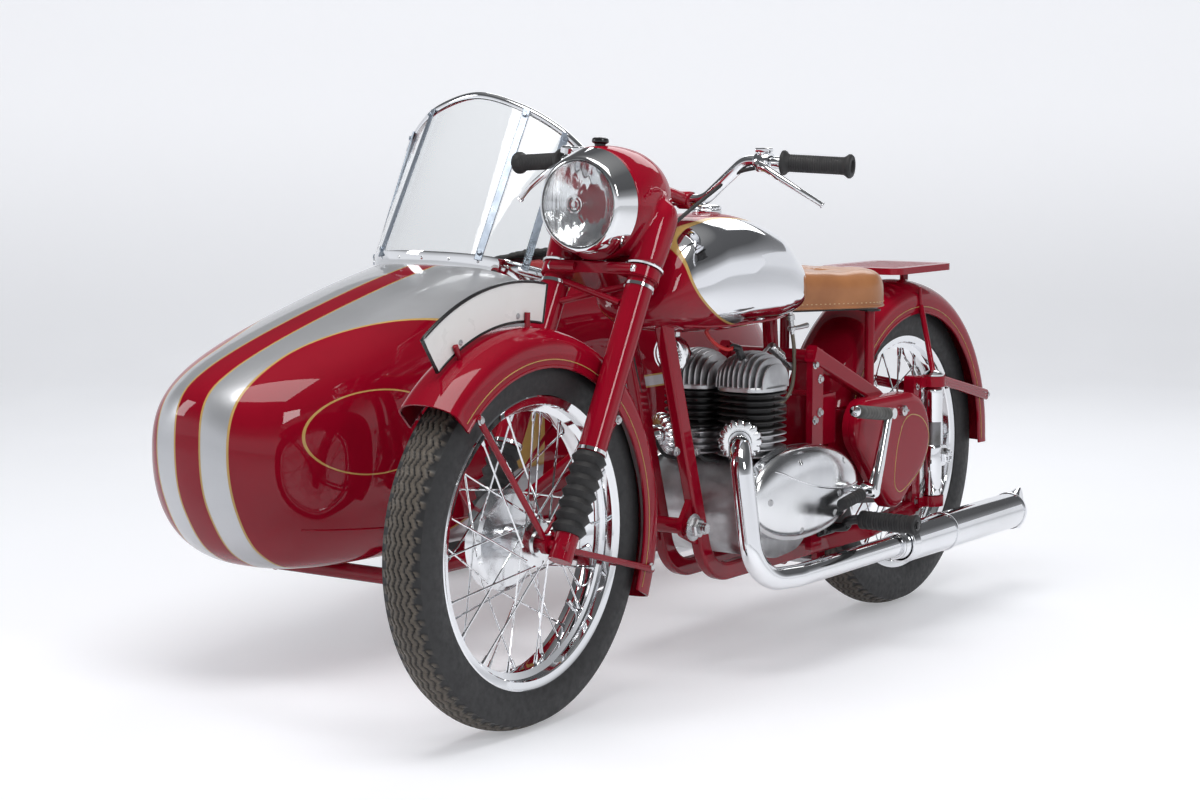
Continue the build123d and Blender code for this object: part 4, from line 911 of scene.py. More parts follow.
# Number plate: white enamel with a black edge bead and two screws, blank
build = Build()
outline = []
for k in range(41):
    turn = math.radians(35 - 46 * k / 40)
    outline.append((0, -667.5 - 444 * math.sin(turn), 325 + 444 * math.cos(turn)))
for k in range(41):
    turn = math.radians(-11 + 46 * k / 40)
    outline.append((0, -667.5 - 376 * math.sin(turn), 325 + 376 * math.cos(turn)))
for hand in (-1, 1):
    loop(build, [(hand * 1.2, y, z) for x, y, z in outline], 2.6, 10)
build.piece("plate_edge", black_gloss, "steering", "black_rubber")
build = Build()
for hand in (-1, 1):
    for angle in (24, 0):
        turn = math.radians(angle)
        slotted_screw(build, (hand * 2.2, -667.5 - 386 * math.sin(turn), 325 + 386 * math.cos(turn)), (hand, 0, 0), 5)
build.piece("plate_screws", zinc, "steering", "chrome")

# Fuel tank with chromed sides
tank_table = [
    (-352, 60, 700, 800, 2.3), (-345, 78, 690, 812, 2.4), (-320, 94, 675, 832, 2.5), (-290, 104, 664, 846, 2.5),
    (-190, 126, 650, 865, 2.5), (-90, 132, 646, 869, 2.5), (30, 128, 648, 848, 2.5), (100, 116, 656, 806, 2.6),
    (140, 102, 668, 768, 2.7), (158, 84, 680, 748, 2.6), (166, 58, 690, 734, 2.4), (168.5, 20, 704, 722, 2.0)]
tank_look = new_material("tank_paint", RED, 0.0, 0.25, 0.7, 0.02, 0.0)
n = Nodes(tank_look)
coords, px, py, pz = n.place()
y_rel = n.math("SUBTRACT", py, (MID_Y - 60) / 1000)
z_rel = n.math("SUBTRACT", pz, 0.757)
skew = n.math("ADD", z_rel, n.math("MULTIPLY", y_rel, 0.10))
reach = n.math("SQRT", n.math("ADD", n.math("POWER", n.math("ABSOLUTE", n.math("DIVIDE", y_rel, 0.216)), 2.3),
                              n.math("POWER", n.math("ABSOLUTE", n.math("DIVIDE", skew, 0.099)), 2.3)))
panel = n.smooth(reach, 1.004, 0.996)
border = n.math("MULTIPLY", n.smooth(reach, 0.994, 1.002), n.smooth(reach, 1.034, 1.026))
red_all = n.mix(n.smooth(n.noise(coords, 5), 0.35, 0.7), RED, RED_DARK)
n.to(n.mix(border, n.mix(panel, red_all, (0.80, 0.81, 0.83)), GOLD), "Base Color")
n.to(panel, "Metallic")
n.to(n.math("SUBTRACT", n.spread(n.noise(coords, 9), 0.22, 0.32), n.math("MULTIPLY", panel, 0.2), clamp=True),
     "Roughness")
n.to(n.math("MULTIPLY", n.math("SUBTRACT", 1.0, panel), 0.7), "Coat Weight")
build = Build()
rows = []
for k in range(101):
    t = k / 100
    y = -352 + 520.5 * (t - math.sin(2 * math.pi * t) / (2 * math.pi) * 0.82)
    half, low, high, power = [curve_at(tank_table, y, c) for c in (1, 2, 3, 4)]
    lean = max(0.0, min(1.0, (-150 - y) / 202)) ** 1.3
    rows.append([at(x, y + lean * (39 + (z - 755) * 0.531), z) for x, z in superellipse(half, low, high, power, 96)])
build.grid(rows, close_columns=True, caps=True)
build.piece("tank_shell", tank_look, "chassis", "red_paint", ("fuel_tank",))

# A welded lip along the tank's foot, the cap and the fuel tap with its hose
build = Build()
lip = []
for hand in (1, -1):
    for k in range(33):
        t = k / 32 if hand > 0 else 1 - k / 32
        y = -250 + 408 * t
        half, low, high, power = [curve_at(tank_table, y, c) for c in (1, 2, 3, 4)]
        rise = (high - low) / 2 * (1 - (1 - 0.62 ** power) ** (1 / power))
        lip.append((hand * half * 0.62, y, low + rise + 0.5))
loop(build, lip, 3.2, 8)
build.piece("tank_lip", paint, "chassis", "red_paint")
build = Build()
build.lathe([(-6, 0.3), (-6, 27), (1, 28.5), (4, 29), (6, 28.6), (7, 27.5), (11, 27.5), (13.5, 26), (15, 22), (15.8, 10),
             (16, 0.3)], (0, -67, 868), (0, 0, 1), 64, closed=True)
for k in range(24):
    turn = 2 * math.pi * k / 24
    build.rod((27.6 * math.sin(turn), -67 + 27.6 * math.cos(turn), 875), (27.6 * math.sin(turn), -67 + 27.6
              * math.cos(turn), 879), 1.1, 6)
build.piece("tank_cap", chrome, "chassis", "chrome", ("filler_cap",))
build = Build()
build.lathe([(-30, 0.3), (-30, 5), (-2, 5), (-1, 8), (9, 8), (10, 5.5), (22, 5.5), (24, 8), (30, 8), (31, 4.5), (38, 4),
             (40, 0.3)], (60, 148, 662), (0, 0.2, -1), 24, closed=True)
build.lathe([(-7, 0.3), (-7, 6), (7, 6), (7, 0.3)], (60, 154, 636), (0, 1, 0), 20, closed=True)
build.tube([(60, 158, 636), (64, 176, 637), (70, 198, 640)], lambda t: 3.6 + 1.6 * t, 12, 6)
build.piece("fuel_tap", zinc, "chassis", "aluminium")
build = Build()
build.tube([(60, 156, 626), (60, 164, 590), (60, 163, 545), (58, 152, 510), (48, 132, 488), (30, 118, 478)], 4, 12, 8)
hose_look = worn(new_material("grey_hose", (0.22, 0.19, 0.14), 0.0, 0.35), 40, 0.25, 0.45, 500, 0.05, 0.0001,
                 (0.15, 0.13, 0.10), 20)
build.piece("fuel_hose", hose_look, "chassis", "black_rubber")


# Soft parts
def blended_outline(circles, offset=0.0, count=96, passes=3):
    # evenly spaced outline of the hull of circles given as (a, b, radius), moved outwards by offset
    dense = []
    for k in range(720):
        turn = math.pi * k / 360
        a, b = math.cos(turn), math.sin(turn)
        best = max(circles, key=lambda c: c[0] * a + c[1] * b + c[2])
        dense.append((best[0] + max(best[2] + offset, 0.5) * a, best[1] + max(best[2] + offset, 0.5) * b))
    runs = [math.dist(dense[k], dense[(k + 1) % 720]) for k in range(720)]
    total, ring, index, past = sum(runs), [], 0, 0.0
    for k in range(count):
        goal = total * k / count
        while past + runs[index] < goal:
            past += runs[index]
            index += 1
        share = (goal - past) / max(runs[index], 1e-9)
        p, q = dense[index], dense[(index + 1) % 720]
        ring.append((p[0] + (q[0] - p[0]) * share, p[1] + (q[1] - p[1]) * share))
    for _ in range(passes):
        ring = [((ring[k - 1][0] + 2 * ring[k][0] + ring[(k + 1) % count][0]) / 4,
                 (ring[k - 1][1] + 2 * ring[k][1] + ring[(k + 1) % count][1]) / 4) for k in range(count)]
    return ring


hide = new_material("saddle_hide", (0.36, 0.15, 0.055), 0.0, 0.4, 0.25, 0.12)
n = Nodes(hide)
coords, px, py, pz = n.place()
tone = n.mix(n.smooth(n.noise(coords, 9), 0.35, 0.7), (0.40, 0.165, 0.062), (0.30, 0.115, 0.042))
# colour lighter on the saddle's top face, with a blotchy edge
saddle_top_lighter = n.smooth(n.math("ADD", pz, n.math("MULTIPLY", n.noise(coords, 14), 0.02)), 0.742, 0.756)
n.to(n.mix(n.math("MULTIPLY", saddle_top_lighter, 0.5), tone, (0.47, 0.21, 0.09)), "Base Color")
n.to(n.spread(n.noise(coords, 22), 0.30, 0.46), "Roughness")
grain = n.add("ShaderNodeTexVoronoi", {"Vector": coords, "Scale": 620.0}).outputs["Distance"]
n.to(n.bump(n.noise(coords, 45), 0.12, 0.0012, n.bump(grain, 0.16, 0.0003)), "Normal")
saddle_plan = [(0, 240, 46), (-54, 384, 75), (54, 384, 75)]
centre_y = 345
build = Build()
rows = []
profile = [(0.0, 0.15, 676), (0.0, 0.55, 674), (0.0, 0.86, 670), (-3, 1.0, 667), (0, 1.0, 667.5), (1, 1.0, 672),
           (1.5, 1.0, 684), (1.5, 1.0, 698), (0.5, 1.0, 710), (-2, 1.0, 720), (-6.5, 1.0, 729), (-13, 1.0, 736),
           (-22, 1.0, 740.5), (-33, 1.0, 743), (-42, 0.97, 744.3), (-44, 0.82, 744.8), (-44, 0.6, 744.2), (-44, 0.38, 743.4),
           (-44, 0.18, 743), (-44, 0.03, 743)]
for offset, share, z in profile:
    ring = blended_outline(saddle_plan, offset, 120)
    row = []
    for x, y in ring:
        sag = 0.0
        if z > 700:
            sag = -4.5 * math.exp(-((y - 330) / 60) ** 2) * (z - 700) / 44 - 3.0 * (y > 420) * (y - 420) / 40
            sag += 0.7 * math.sin(x * 0.09 + y * 0.05) * (z - 700) / 44
        rise = 5 * math.exp(-((y - 195) / 26) ** 2) if z < 700 else 0.0
        row.append(at(x * share, centre_y + (y - centre_y) * share, z + sag - rise * 0.4))
    rows.append(row)
build.grid(rows, close_columns=True, caps=True)
saddle = build.piece("saddle_cover", hide, "chassis", "tan_leather", ("saddle",))
modifier = saddle.modifiers.new("fine", "SUBSURF")
modifier.levels = modifier.render_levels = 1
apply_modifiers(saddle, 70)
build = Build()
edge_ring = blended_outline(saddle_plan, 1.7, 160)
loop(build, [(x, y, 668.5) for x, y in blended_outline(saddle_plan, 0.4, 120)], 2.6, 8)
build.piece("saddle_piping", hide, "chassis", "tan_leather")
thread = worn(new_material("pale_thread", (0.62, 0.46, 0.27), 0.0, 0.7), 300, 0.6, 0.8, 2000, 0.2, 0.0001,
              (0.5, 0.36, 0.2), 60)
build = Build()
for k in range(0, 160, 2):
    a, b = edge_ring[k], edge_ring[(k + 1) % 160]
    if (Vector(a) - Vector(b)).length > 1:
        steps = max(1, int((Vector(a) - Vector(b)).length / 9))
        for j in range(steps):
            p = Vector(a).lerp(Vector(b), (j + 0.1) / steps)
            q = Vector(a).lerp(Vector(b), (j + 0.7) / steps)
            build.rod((p[0], p[1], 677), (q[0], q[1], 677), 0.85, 6)
build.piece("saddle_stitches", thread, "chassis", "tan_leather")
build = Build()
build.grid([[at(x * s, centre_y + (y - centre_y) * s, z) for x, y in blended_outline(saddle_plan, -6, 72)]
            for s, z in ((0.75, 662), (0.98, 662), (0.98, 667), (0.75, 667))], close_columns=True, caps=True)
for hand in (-1, 1):
    build.lathe([(0, 10.3), (0, 22), (4, 22), (4, 10.3)], (hand * 100, 400, 657), (0, 0, 1), 28, closed=True)
build.piece("saddle_pan", black_gloss, "chassis", "steel")


def pillow(build, centre, a, b, up, top, low, channels=0, count_u=72, count_v=30, corner=5.0, depth=5.0):
    # a crowned pad on half axes a and b, rising by top and falling by low along up
    centre, a, b, up = Vector(centre), Vector(a), Vector(b), Vector(up).normalized()
    sheets = []
    for height, sign in ((top, 1), (low, -1)):
        rows = []
        for j in range(count_v + 1):
            row = []
            for i in range(count_u + 1):
                u, v = -math.cos(math.pi * i / count_u), -math.cos(math.pi * j / count_v)
                big = max(abs(u), abs(v))
                norm = (abs(u) ** corner + abs(v) ** corner) ** (1 / corner)
                f = big / norm if norm > 0 else 1.0
                swell = ((1 - abs(u) ** 3.4) * (1 - abs(v) ** 3.4)) ** 0.42 if big < 1 else 0.0
                groove = 0.0
                if channels and sign > 0:
                    groove = depth * (1 - abs(math.sin(math.pi * channels * (u + 1) / 2)) ** 0.45) * min(1, swell * 1.3)
                p = centre + a * (u * f) + b * (v * f) + up * sign * max(height * swell - groove, 0 if swell else 0)
                row.append(at(*p))
            rows.append(row)
        sheets.append(rows)
    for rows in sheets:
        build.grid(rows)


def welded(obj):
    work = bmesh.new()
    work.from_mesh(obj.data)
    bmesh.ops.remove_doubles(work, verts=work.verts, dist=0.0004)
    bmesh.ops.recalc_face_normals(work, faces=work.faces)
    work.to_mesh(obj.data)
    work.free()
    return obj


seat_hide = new_material("seat_red_hide", (0.40, 0.028, 0.03), 0.0, 0.42, 0.15, 0.15)
n = Nodes(seat_hide)
coords = n.place()[0]
n.to(n.mix(n.smooth(n.noise(coords, 9), 0.35, 0.7), (0.40, 0.028, 0.03), (0.29, 0.016, 0.019)), "Base Color")
n.to(n.spread(n.noise(coords, 22), 0.34, 0.5), "Roughness")
grain = n.add("ShaderNodeTexVoronoi", {"Vector": coords, "Scale": 620.0}).outputs["Distance"]
n.to(n.bump(n.noise(coords, 45), 0.12, 0.0012, n.bump(grain, 0.16, 0.0003)), "Normal")
build = Build()
pillow(build, (SIDECAR_X, 132, 340), (183, 0, 0), (0, 150, -7), (0, 0.05, 1), 60, 44, 7)
cushion = welded(build.piece("seat_cushion", seat_hide, "chassis", "red_leather", ("sidecar_seat",)))
build = Build()
pillow(build, (SIDECAR_X, 352, 545), (183, 0, 0), (0, 28, 186), (0, -1, 0.15), 38, 26, 7)
squab = welded(build.piece("seat_back", seat_hide, "chassis", "red_leather"))
build = Build()
for centre, a, b in (((SIDECAR_X, 132, 340), 183, Vector((0, 150, -7))), ((SIDECAR_X, 352, 545), 183, Vector((0, 28, 186)))):
    line = []
    for k in range(96):
        turn = 2 * math.pi * k / 96
        c, s = math.cos(turn), math.sin(turn)
        line.append(tuple(Vector(centre) + Vector((a * math.copysign(abs(c) ** 0.42, c), 0, 0))
                          + b * math.copysign(abs(s) ** 0.42, s)))
    loop(build, line, 4, 10)
build.piece("seat_piping", seat_hide, "chassis", "red_leather")
build = Build()
build.box((SIDECAR_X, 140, 248), (280, 240, 92), None, 6)
build.piece("seat_base", black_gloss, "chassis", "red_leather")


# Engine: barrels, heads, plugs and covers
def rounded_ring(cx, cy, hx, hy, corner, count=10):
    ring = []
    for quarter, (sx, sy) in enumerate(((1, 1), (-1, 1), (-1, -1), (1, -1))):
        for k in range(count):
            turn = math.pi / 2 * (quarter + k / (count - 1))
            ring.append((cx + sx * (hx - corner) + corner * math.cos(turn),
                         cy + sy * (hy - corner) + corner * math.sin(turn)))
    return ring


barrel_look = new_material("barrel_black_and_bare", (0.012, 0.012, 0.013), 0.1, 0.4)
n = Nodes(barrel_look)
coords, px, py, pz = n.place()
bare = n.smooth(pz, 0.4515, 0.4505)
n.to(n.mix(bare, n.mix(n.smooth(n.noise(coords, 12), 0.35, 0.7), (0.011, 0.011, 0.012), (0.022, 0.021, 0.02)),
           n.mix(n.noise(coords, 20), (0.46, 0.46, 0.47), (0.68, 0.68, 0.69))), "Base Color")
n.to(n.math("ADD", n.math("MULTIPLY", bare, 0.9), 0.05), "Metallic")
n.to(n.spread(n.noise(coords, 30), 0.26, 0.44), "Roughness")
n.to(n.bump(n.noise(coords, 1300), 0.2, 0.0002), "Normal")
build = Build()
for hand in (-1, 1):
    cx = hand * 61
    build.rod((cx, 4, 400), (cx, 4, 528), 42, 40)
    for k in range(10):
        z = 404 + 13 * k
        grow = 0 if k > 3 else (4 - k) * 0.6
        build.grid([[at(x, y, z + dz) for x, y in rounded_ring(cx, 4, 58 - inset + 0 * grow, 64 - inset, 44 - inset)]
                    for inset, dz in ((16, -1.6), (1.6, 0.2), (0, 1.2), (0, 3.2), (1.2, 4.0), (16, 5.6))],
                   close_columns=True, caps=True)
    port = Vector((hand * 80, -72, 443))
    way = (Vector((hand * 130, -154, 429)) - port).normalized()
    build.rod(tuple(port - way * 55), tuple(port - way * 0.3), 25, 28)
build.piece("barrels", barrel_look, "chassis", "black_iron", ("cylinders",))

build = Build()
for hand in (-1, 1):
    cx = hand * 61
    build.grid([[at(x, y, z) for x, y in rounded_ring(cx, 4, 58 - inset, 64 - inset, 44 - inset)]
                for inset, z in ((1.5, 528.4), (0, 529.5), (0, 536), (2, 538.5))], close_columns=True, caps=True)
    build.rod((cx, 4, 536), (cx, 4, 574), 40, 32, 30)
    for index in range(10):
        place = (index - 4.5) * 11.4
        reach = math.sqrt(max(0.0, 1 - (place / 60) ** 2))
        half, top = 64 * (0.50 + 0.50 * reach), 537 + 67 * (0.30 + 0.70 * reach)
        rows = []
        for dx, inset in ((-1.9, 1.2), (-1.2, 0), (1.2, 0), (1.9, 1.2)):
            row = [(half - inset, 535), (-half + inset, 535)]
            for k in range(1, 24):
                turn = math.pi * (1 - k / 24)
                row.append(((half - inset) * math.copysign(abs(math.cos(turn)) ** 0.85, math.cos(turn)),
                            536 + (top - inset - 536) * math.sin(turn) ** 0.8))
            rows.append([at(cx + place + dx, 4 + y, z) for y, z in row])
        build.grid(rows, close_columns=True, caps=True)
build.piece("heads", cast, "chassis", "aluminium", ("cylinder_heads",))
build, caps_build, leads = Build(), Build(), Build()
for hand in (-1, 1):
    foot, tip = Vector((hand * 61, -28, 584)), Vector((hand * 61, -50, 612))
    way = (tip - foot).normalized()
    hex_bolt(build, tuple(foot), way, 11, 9)
    build.rod(tuple(foot + way * 8), tuple(foot + way * 18), 6, 16)
    caps_build.tube([tuple(foot + way * 12), tuple(foot + way * 26), tuple(tip), tuple(tip + Vector((-hand * 4, -14, 4)))],
                    lambda t: 8.5 - 2 * t, 16, 6)
    leads.tube([tuple(tip + Vector((-hand * 3, -10, 2))), (hand * 54, -78, 612), (hand * 44, -100, 622),
                (hand * 36, -118, 642), (hand * 30, -126, 664)], 3.8, 12, 8)
build.piece("spark_plugs", zinc, "chassis", "steel")
caps_build.piece("plug_caps", black_gloss, "chassis", "black_rubber")
leads.piece("plug_leads", plug_red, "chassis", "black_rubber")

for side_name, hand, middle, long_half, tall_half, foot, outer in (
        ("left", 1, (72, 330), 198, 91, 132, 170.0), ("right", -1, (52, 318), 158, 84, 134, 171.8)):
    def egg(share, middle=middle, long_half=long_half, tall_half=tall_half):
        ring = []
        for k in range(144):
            turn = 2 * math.pi * k / 144
            c, s = math.cos(turn), math.sin(turn)
            ring.append((middle[0] + share * long_half * math.copysign(abs(c) ** 0.94, c),
                         middle[1] + share * (tall_half - 9 * c) * math.copysign(abs(s) ** 0.94, s) - 4 * share * c))
        return ring

    def cover_x(y, z, middle=middle, long_half=long_half, tall_half=tall_half, foot=foot, outer=outer):
        # height of the cover's skin at a point of its outline's plane
        a = (y - middle[0]) / long_half
        b = (z - middle[1] + 4 * a) / (tall_half - 9 * max(-1, min(1, a)))
        share = min(0.999, math.sqrt(a * a + b * b))
        return foot + (outer - foot) * (1 - share ** 2.9) ** (1 / 2.9)

    build = Build()
    rows = [[at(hand * x, y, z) for y, z in egg(share)]
            for x, share in ((119.8, 1.0), (124, 1.002), (124.6, 0.992), (126, 0.992), (126.6, 1.002), (foot - 2, 1.0))]
    for k in range(1, 30):
        share = math.cos(math.pi / 2 * k / 30) ** 0.8
        rows.append([at(hand * (foot + (outer - foot) * (1 - share ** 2.9) ** (1 / 2.9)), y, z) for y, z in egg(share)])
    build.grid(rows, close_columns=True, caps=True)
    piece = build.piece("cover_" + side_name, polished, "chassis", "aluminium", ("engine_covers",))

    trim = Build()
    line = [(-70, 386), (-50, 380), (-20, 368), (30, 352), (90, 338), (150, 329), (210, 326), (245, 328)]
    if hand < 0:
        line = [(-62, 372), (-40, 362), (10, 345), (60, 333), (110, 324), (160, 320), (186, 322)]
    path = smooth_path([Vector((a, b, 0)) for a, b in line], 8)
    trim.tube([(hand * (cover_x(p[0], p[1]) + 0.3), p[0], p[1]) for p in path], 2.0, 8, 1)
    trim.piece("cover_line_" + side_name, polished, "chassis", "aluminium")
    trim = Build()
    places = [(12, 394), (190, 378), (158, 318), (146, 281), (22, 262), (-92, 330)]
    if hand < 0:
        places = [(0, 380), (150, 350), (150, 280), (10, 256), (-78, 322)]
    for y, z in places:
        slotted_screw(trim, (hand * cover_x(y, z), y, z), (hand, (y - middle[0]) * 0.0025, (z - middle[1]) * 0.007), 6.5)
    trim.piece("cover_screws_" + side_name, zinc, "chassis", "steel")

# Lobed exhaust nuts
build = Build()
for hand in (-1, 1):
    inner = Vector((hand * 80, -72, 443))
    way = (Vector((hand * 130, -154, 429)) - inner).normalized()
    u = way.orthogonal().normalized()
    v = way.cross(u)
    rows = []
    for a, r, lobe in ((-2, 22.2, 0), (-2, 30, 0), (2, 36, 0.6), (5, 39.5, 2.2), (12, 40, 2.6), (19, 38.5, 2.2), (22.5, 33, 0.8),
                       (23.5, 27, 0), (23.5, 22.2, 0)):
        rows.append([at(*(inner + way * a + (u * math.cos(2 * math.pi * k / 160) + v * math.sin(2 * math.pi * k / 160))
                         * (r + lobe * (abs(math.cos(8 * 2 * math.pi * k / 160)) ** 0.6 * 2 - 1)))) for k in range(160)])
    build.grid(rows, close_rows=True, close_columns=True)
build.piece("exhaust_collars", polished, "chassis", "aluminium", ("exhaust_nuts",))

# Carburettor spring sleeve, horn, cable on the down tube, coupling bolt
build = Build()
a, b = Vector((30, 122, 602)), Vector((34, 206, 552))
way = (b - a).normalized()
length = (b - a).length
profile = [(0, 0.3), (0, 7)]
for k in range(14):
    profile += [(3 + k * (length - 8) / 14, 8), (5 + k * (length - 8) / 14, 10.5), (7 + k * (length - 8) / 14, 8)]
profile += [(length - 1, 7), (length, 0.3)]
build.lathe(profile, tuple(a), way, 28)
build.lathe([(0, 0.3), (0, 14), (8, 16), (12, 16), (18, 22), (30, 22), (32, 18), (44, 16), (46, 0.3)], (0, 108, 514),
            (0, 0, 1), 36, closed=True)
build.tube([(8, 112, 560), (16, 116, 585), (30, 122, 602)], 4, 10, 6)
build.piece("carburettor_top", zinc, "chassis", "aluminium")
build = Build()
build.lathe([(-22, 0.3), (-22, 30), (-18, 34), (-2, 36), (2, 36), (4, 34), (4, 31.5), (1, 30), (1, 24), (3.4, 23), (3.4, 21),
             (1, 20), (1, 14), (3, 13), (4, 8), (4.6, 0.3)], (0, -191, 608), (0, -1, -0.12), 64, closed=True)
build.rod((0, -172, 640), (0, -172, 686), 8, 16)
build.piece("horn_body", chrome, "chassis", "chrome", ("horn",))
grille = Build()
for k in range(-3, 4):
    half = math.sqrt(22 ** 2 - (k * 6) ** 2)
    grille.rod((-half, -196.6, 608 + k * 6), (half, -196.6, 608 + k * 6), 1.4, 8)
grille.piece("horn_grille", black_gloss, "chassis", "chrome")
build = Build()
for hand in (-1, 1):
    build.tube([(hand * 32, -296, 700), (hand * 32, -284, 655), (hand * 33, -250, 560), (hand * 36, -205, 470),
                (hand * 42, -150, 415), (hand * 46, -100, 400)], 3.6, 12, 8)
build.piece("frame_cables", rubber, "chassis", "black_rubber")
build = Build()
build.rod((62, -205, 290), (92, -205, 290), 9.5, 24)
hex_bolt(build, (62, -205, 290), (1, 0, 0), 19, 14)
for x in (80, 86):
    build.lathe([(-1.2, 9.2), (-1.2, 10.8), (1.2, 10.8), (1.2, 9.2)], (x, -205, 290), (1, 0, 0), 24, closed=True)
for y, z in ((-246, 436), (-177, 428)):
    hex_bolt(build, (49, y, z), (1, 0, 0), 6.5, 5)
    hex_bolt(build, (-49, y, z), (-1, 0, 0), 6.5, 5)
for hand in (-1, 1):
    for y, z in ((165, 566), (185, 536), (185, 470), (165, 456), (186, 398), (166, 300), (188, 232)):
        hex_bolt(build, (hand * 107, y, z), (hand, 0, 0), 6.5, 5)
    for y, z in ((594, 486), (594, 240), (594, 440)):
        hex_bolt(build, (hand * 112, y, z), (hand, 0, 0), 6.5, 5)
    hex_bolt(build, (hand * 54, 300, 150), (hand, 0, 0), 8, 5)
build.piece("frame_bolts", zinc, "chassis", "steel")

# Pedals and footrests
build, rubbers = Build(), Build()
build.lathe([(0, 0.3), (0, 9), (30, 9), (30, 14), (34, 16), (58, 16), (61, 13), (61, 0.3)], (150.5, 233, 317), (1, 0, 0),
            28, closed=True)
build.tube([(204, 233, 317), (205, 248, 360), (205, 268, 412), (204, 288, 458), (204, 294, 470)],
           lambda t: 12.5 - 4.5 * t, 16, 8)
build.lathe([(-12, 0.3), (-12, 11), (12, 11), (12, 0.3)], (204, 294, 464), (1, 0, 0), 24, closed=True)
a, b = Vector((204, 300, 461)), Vector((204, 150, 482))
way = (b - a).normalized()
build.rod(tuple(a), tuple(b), 6.5, 16)
build.lathe([(0, 0.3), (2, 8), (6, 11), (12, 11.5), (17, 9), (19, 0.3)], tuple(a + way * 138), way, 24, closed=True)
profile = [(0, 6.6), (0, 12.2), (2, 13)]
for k in range(9):
    profile += [(6 + k * 12.2, 13), (7.5 + k * 12.2, 12.2), (9 + k * 12.2, 13)]
profile += [(120, 13), (122, 12.2), (122, 6.6)]
rubbers.lathe(profile, tuple(a + way * 14), way, 32, closed=True)
build.tube([(186, 233, 313), (190, 224, 312), (190, 205, 311), (190, 150, 303)], lambda t: 7.5 - 1.5 * t, 14, 6)
build.lathe([(-7, 0.3), (-7, 13.5), (5, 13.5), (5, 0.3)], (186, 233, 317), (1, 0, 0), 24, closed=True)
build.piece("pedal_arms", chrome, "chassis", "chrome", ("foot_controls",))
a, b = Vector((190, 212, 312)), Vector((190, 128, 300))
way = (b - a).normalized()
profile = [(4, 6.4), (4, 11), (6, 12)]
for k in range(7):
    profile += [(10 + k * 10, 12), (11.5 + k * 10, 10.8), (13 + k * 10, 12)]
profile += [(83, 11.5), (84.5, 9), (84.8, 0.3)]
dark = Build()
dark.lathe(profile, tuple(a), way, 28)
rubbers.piece("kick_rubber", pedal_rubber, "chassis", "black_rubber")
build = Build()
build.tube([(-292, 226, 257), (-180, 226, 257), (-150, 226, 250), (-120, 226, 236), (120, 226, 236), (150, 226, 250),
            (180, 226, 257), (292, 226, 257)], 9.5, 16, 6)
for hand in (-1, 1):
    build.box((hand * 111.3, 207, 236), (8, 64, 28), None, 3)
    hex_bolt(build, (hand * 115.5, 188, 236), (hand, 0, 0), 8, 5)
    hex_bolt(build, (hand * 303.5, 226, 257), (hand, 0, 0), 8, 3)
    profile = [(0, 9.6), (0, 16), (2, 18.5), (6, 19)]
    for k in range(9):
        profile += [(10 + k * 11.5, 18.6), (11.5 + k * 11.5, 16.8), (15 + k * 11.5, 16.8), (16.5 + k * 11.5, 18.6)]
    profile += [(116, 18.8), (119, 20.5), (122, 20.5), (124, 18), (124, 9.6)]
    dark.lathe(profile, (hand * 180, 226, 257), (hand, 0, 0), 36, closed=True)
build.piece("footrest_bar", black_gloss, "chassis", "steel", ("footrests",))
dark.piece("footrest_rubbers", rubber, "chassis", "black_rubber")

# Rear plungers
build, grey = Build(), Build()
for hand in (-1, 1):
    x = hand * 124
    build.lathe([(248.5, 0.3), (248.5, 17), (250, 19.5), (262, 20), (264, 21), (350, 21), (355, 20), (358, 17), (358, 0.3)],
                (x, 642, 0), (0, 0, 1), 48, closed=True)
    build.lathe([(405, 0.3), (405, 17), (407, 20.4), (412, 21), (468, 21), (474, 22), (478, 20), (481.6, 14), (481.6, 0.3)],
                (x, 642, 0), (0, 0, 1), 48, closed=True)
    build.lathe([(504.5, 0.3), (504.5, 22), (508, 22), (512, 17), (516, 10), (517, 0.3)], (x, 642, 0), (0, 0, 1), 40,
                closed=True)
    grey.lathe([(357, 0.3), (357, 18), (406, 18), (406, 0.3)], (x, 642, 0), (0, 0, 1), 40, closed=True)
    build.box((x, 658, 332), (26, 44, 46), None, 9)
    hex_bolt(build, (hand * 137, 667.5, 332), (hand, 0, 0), 17, 13)
    for k in range(6):
        turn = math.pi * k / 3 + 0.5
        build.rod((hand * 151, 667.5 + 10 * math.cos(turn), 332 + 10 * math.sin(turn)),
                  (hand * 155, 667.5 + 10 * math.cos(turn), 332 + 10 * math.sin(turn)), 3.4, 10)
build.rod((-152, 667.5, 332), (152, 667.5, 332), 8.8, 24)
build.piece("plunger_covers", chrome, "chassis", "chrome", ("rear_plungers",))
grey.piece("plunger_sleeves", steel, "chassis", "steel")

# Tool boxes with a pinstriped teardrop and a knob
box_circles = [(320, 430, 55), (492, 390, 94), (440, 290, 42)]


def box_x(y, z):
    room = 1000.0
    for k in range(72):
        a, b = math.cos(math.pi * k / 36), math.sin(math.pi * k / 36)
        room = min(room, max(c[0] * a + c[1] * b + c[2] for c in box_circles) - y * a - z * b)
    share = min(1.0, max(0.0, room / 22))
    return 138 + 14 * math.sqrt(max(0.0, 1 - (1 - share) ** 2))


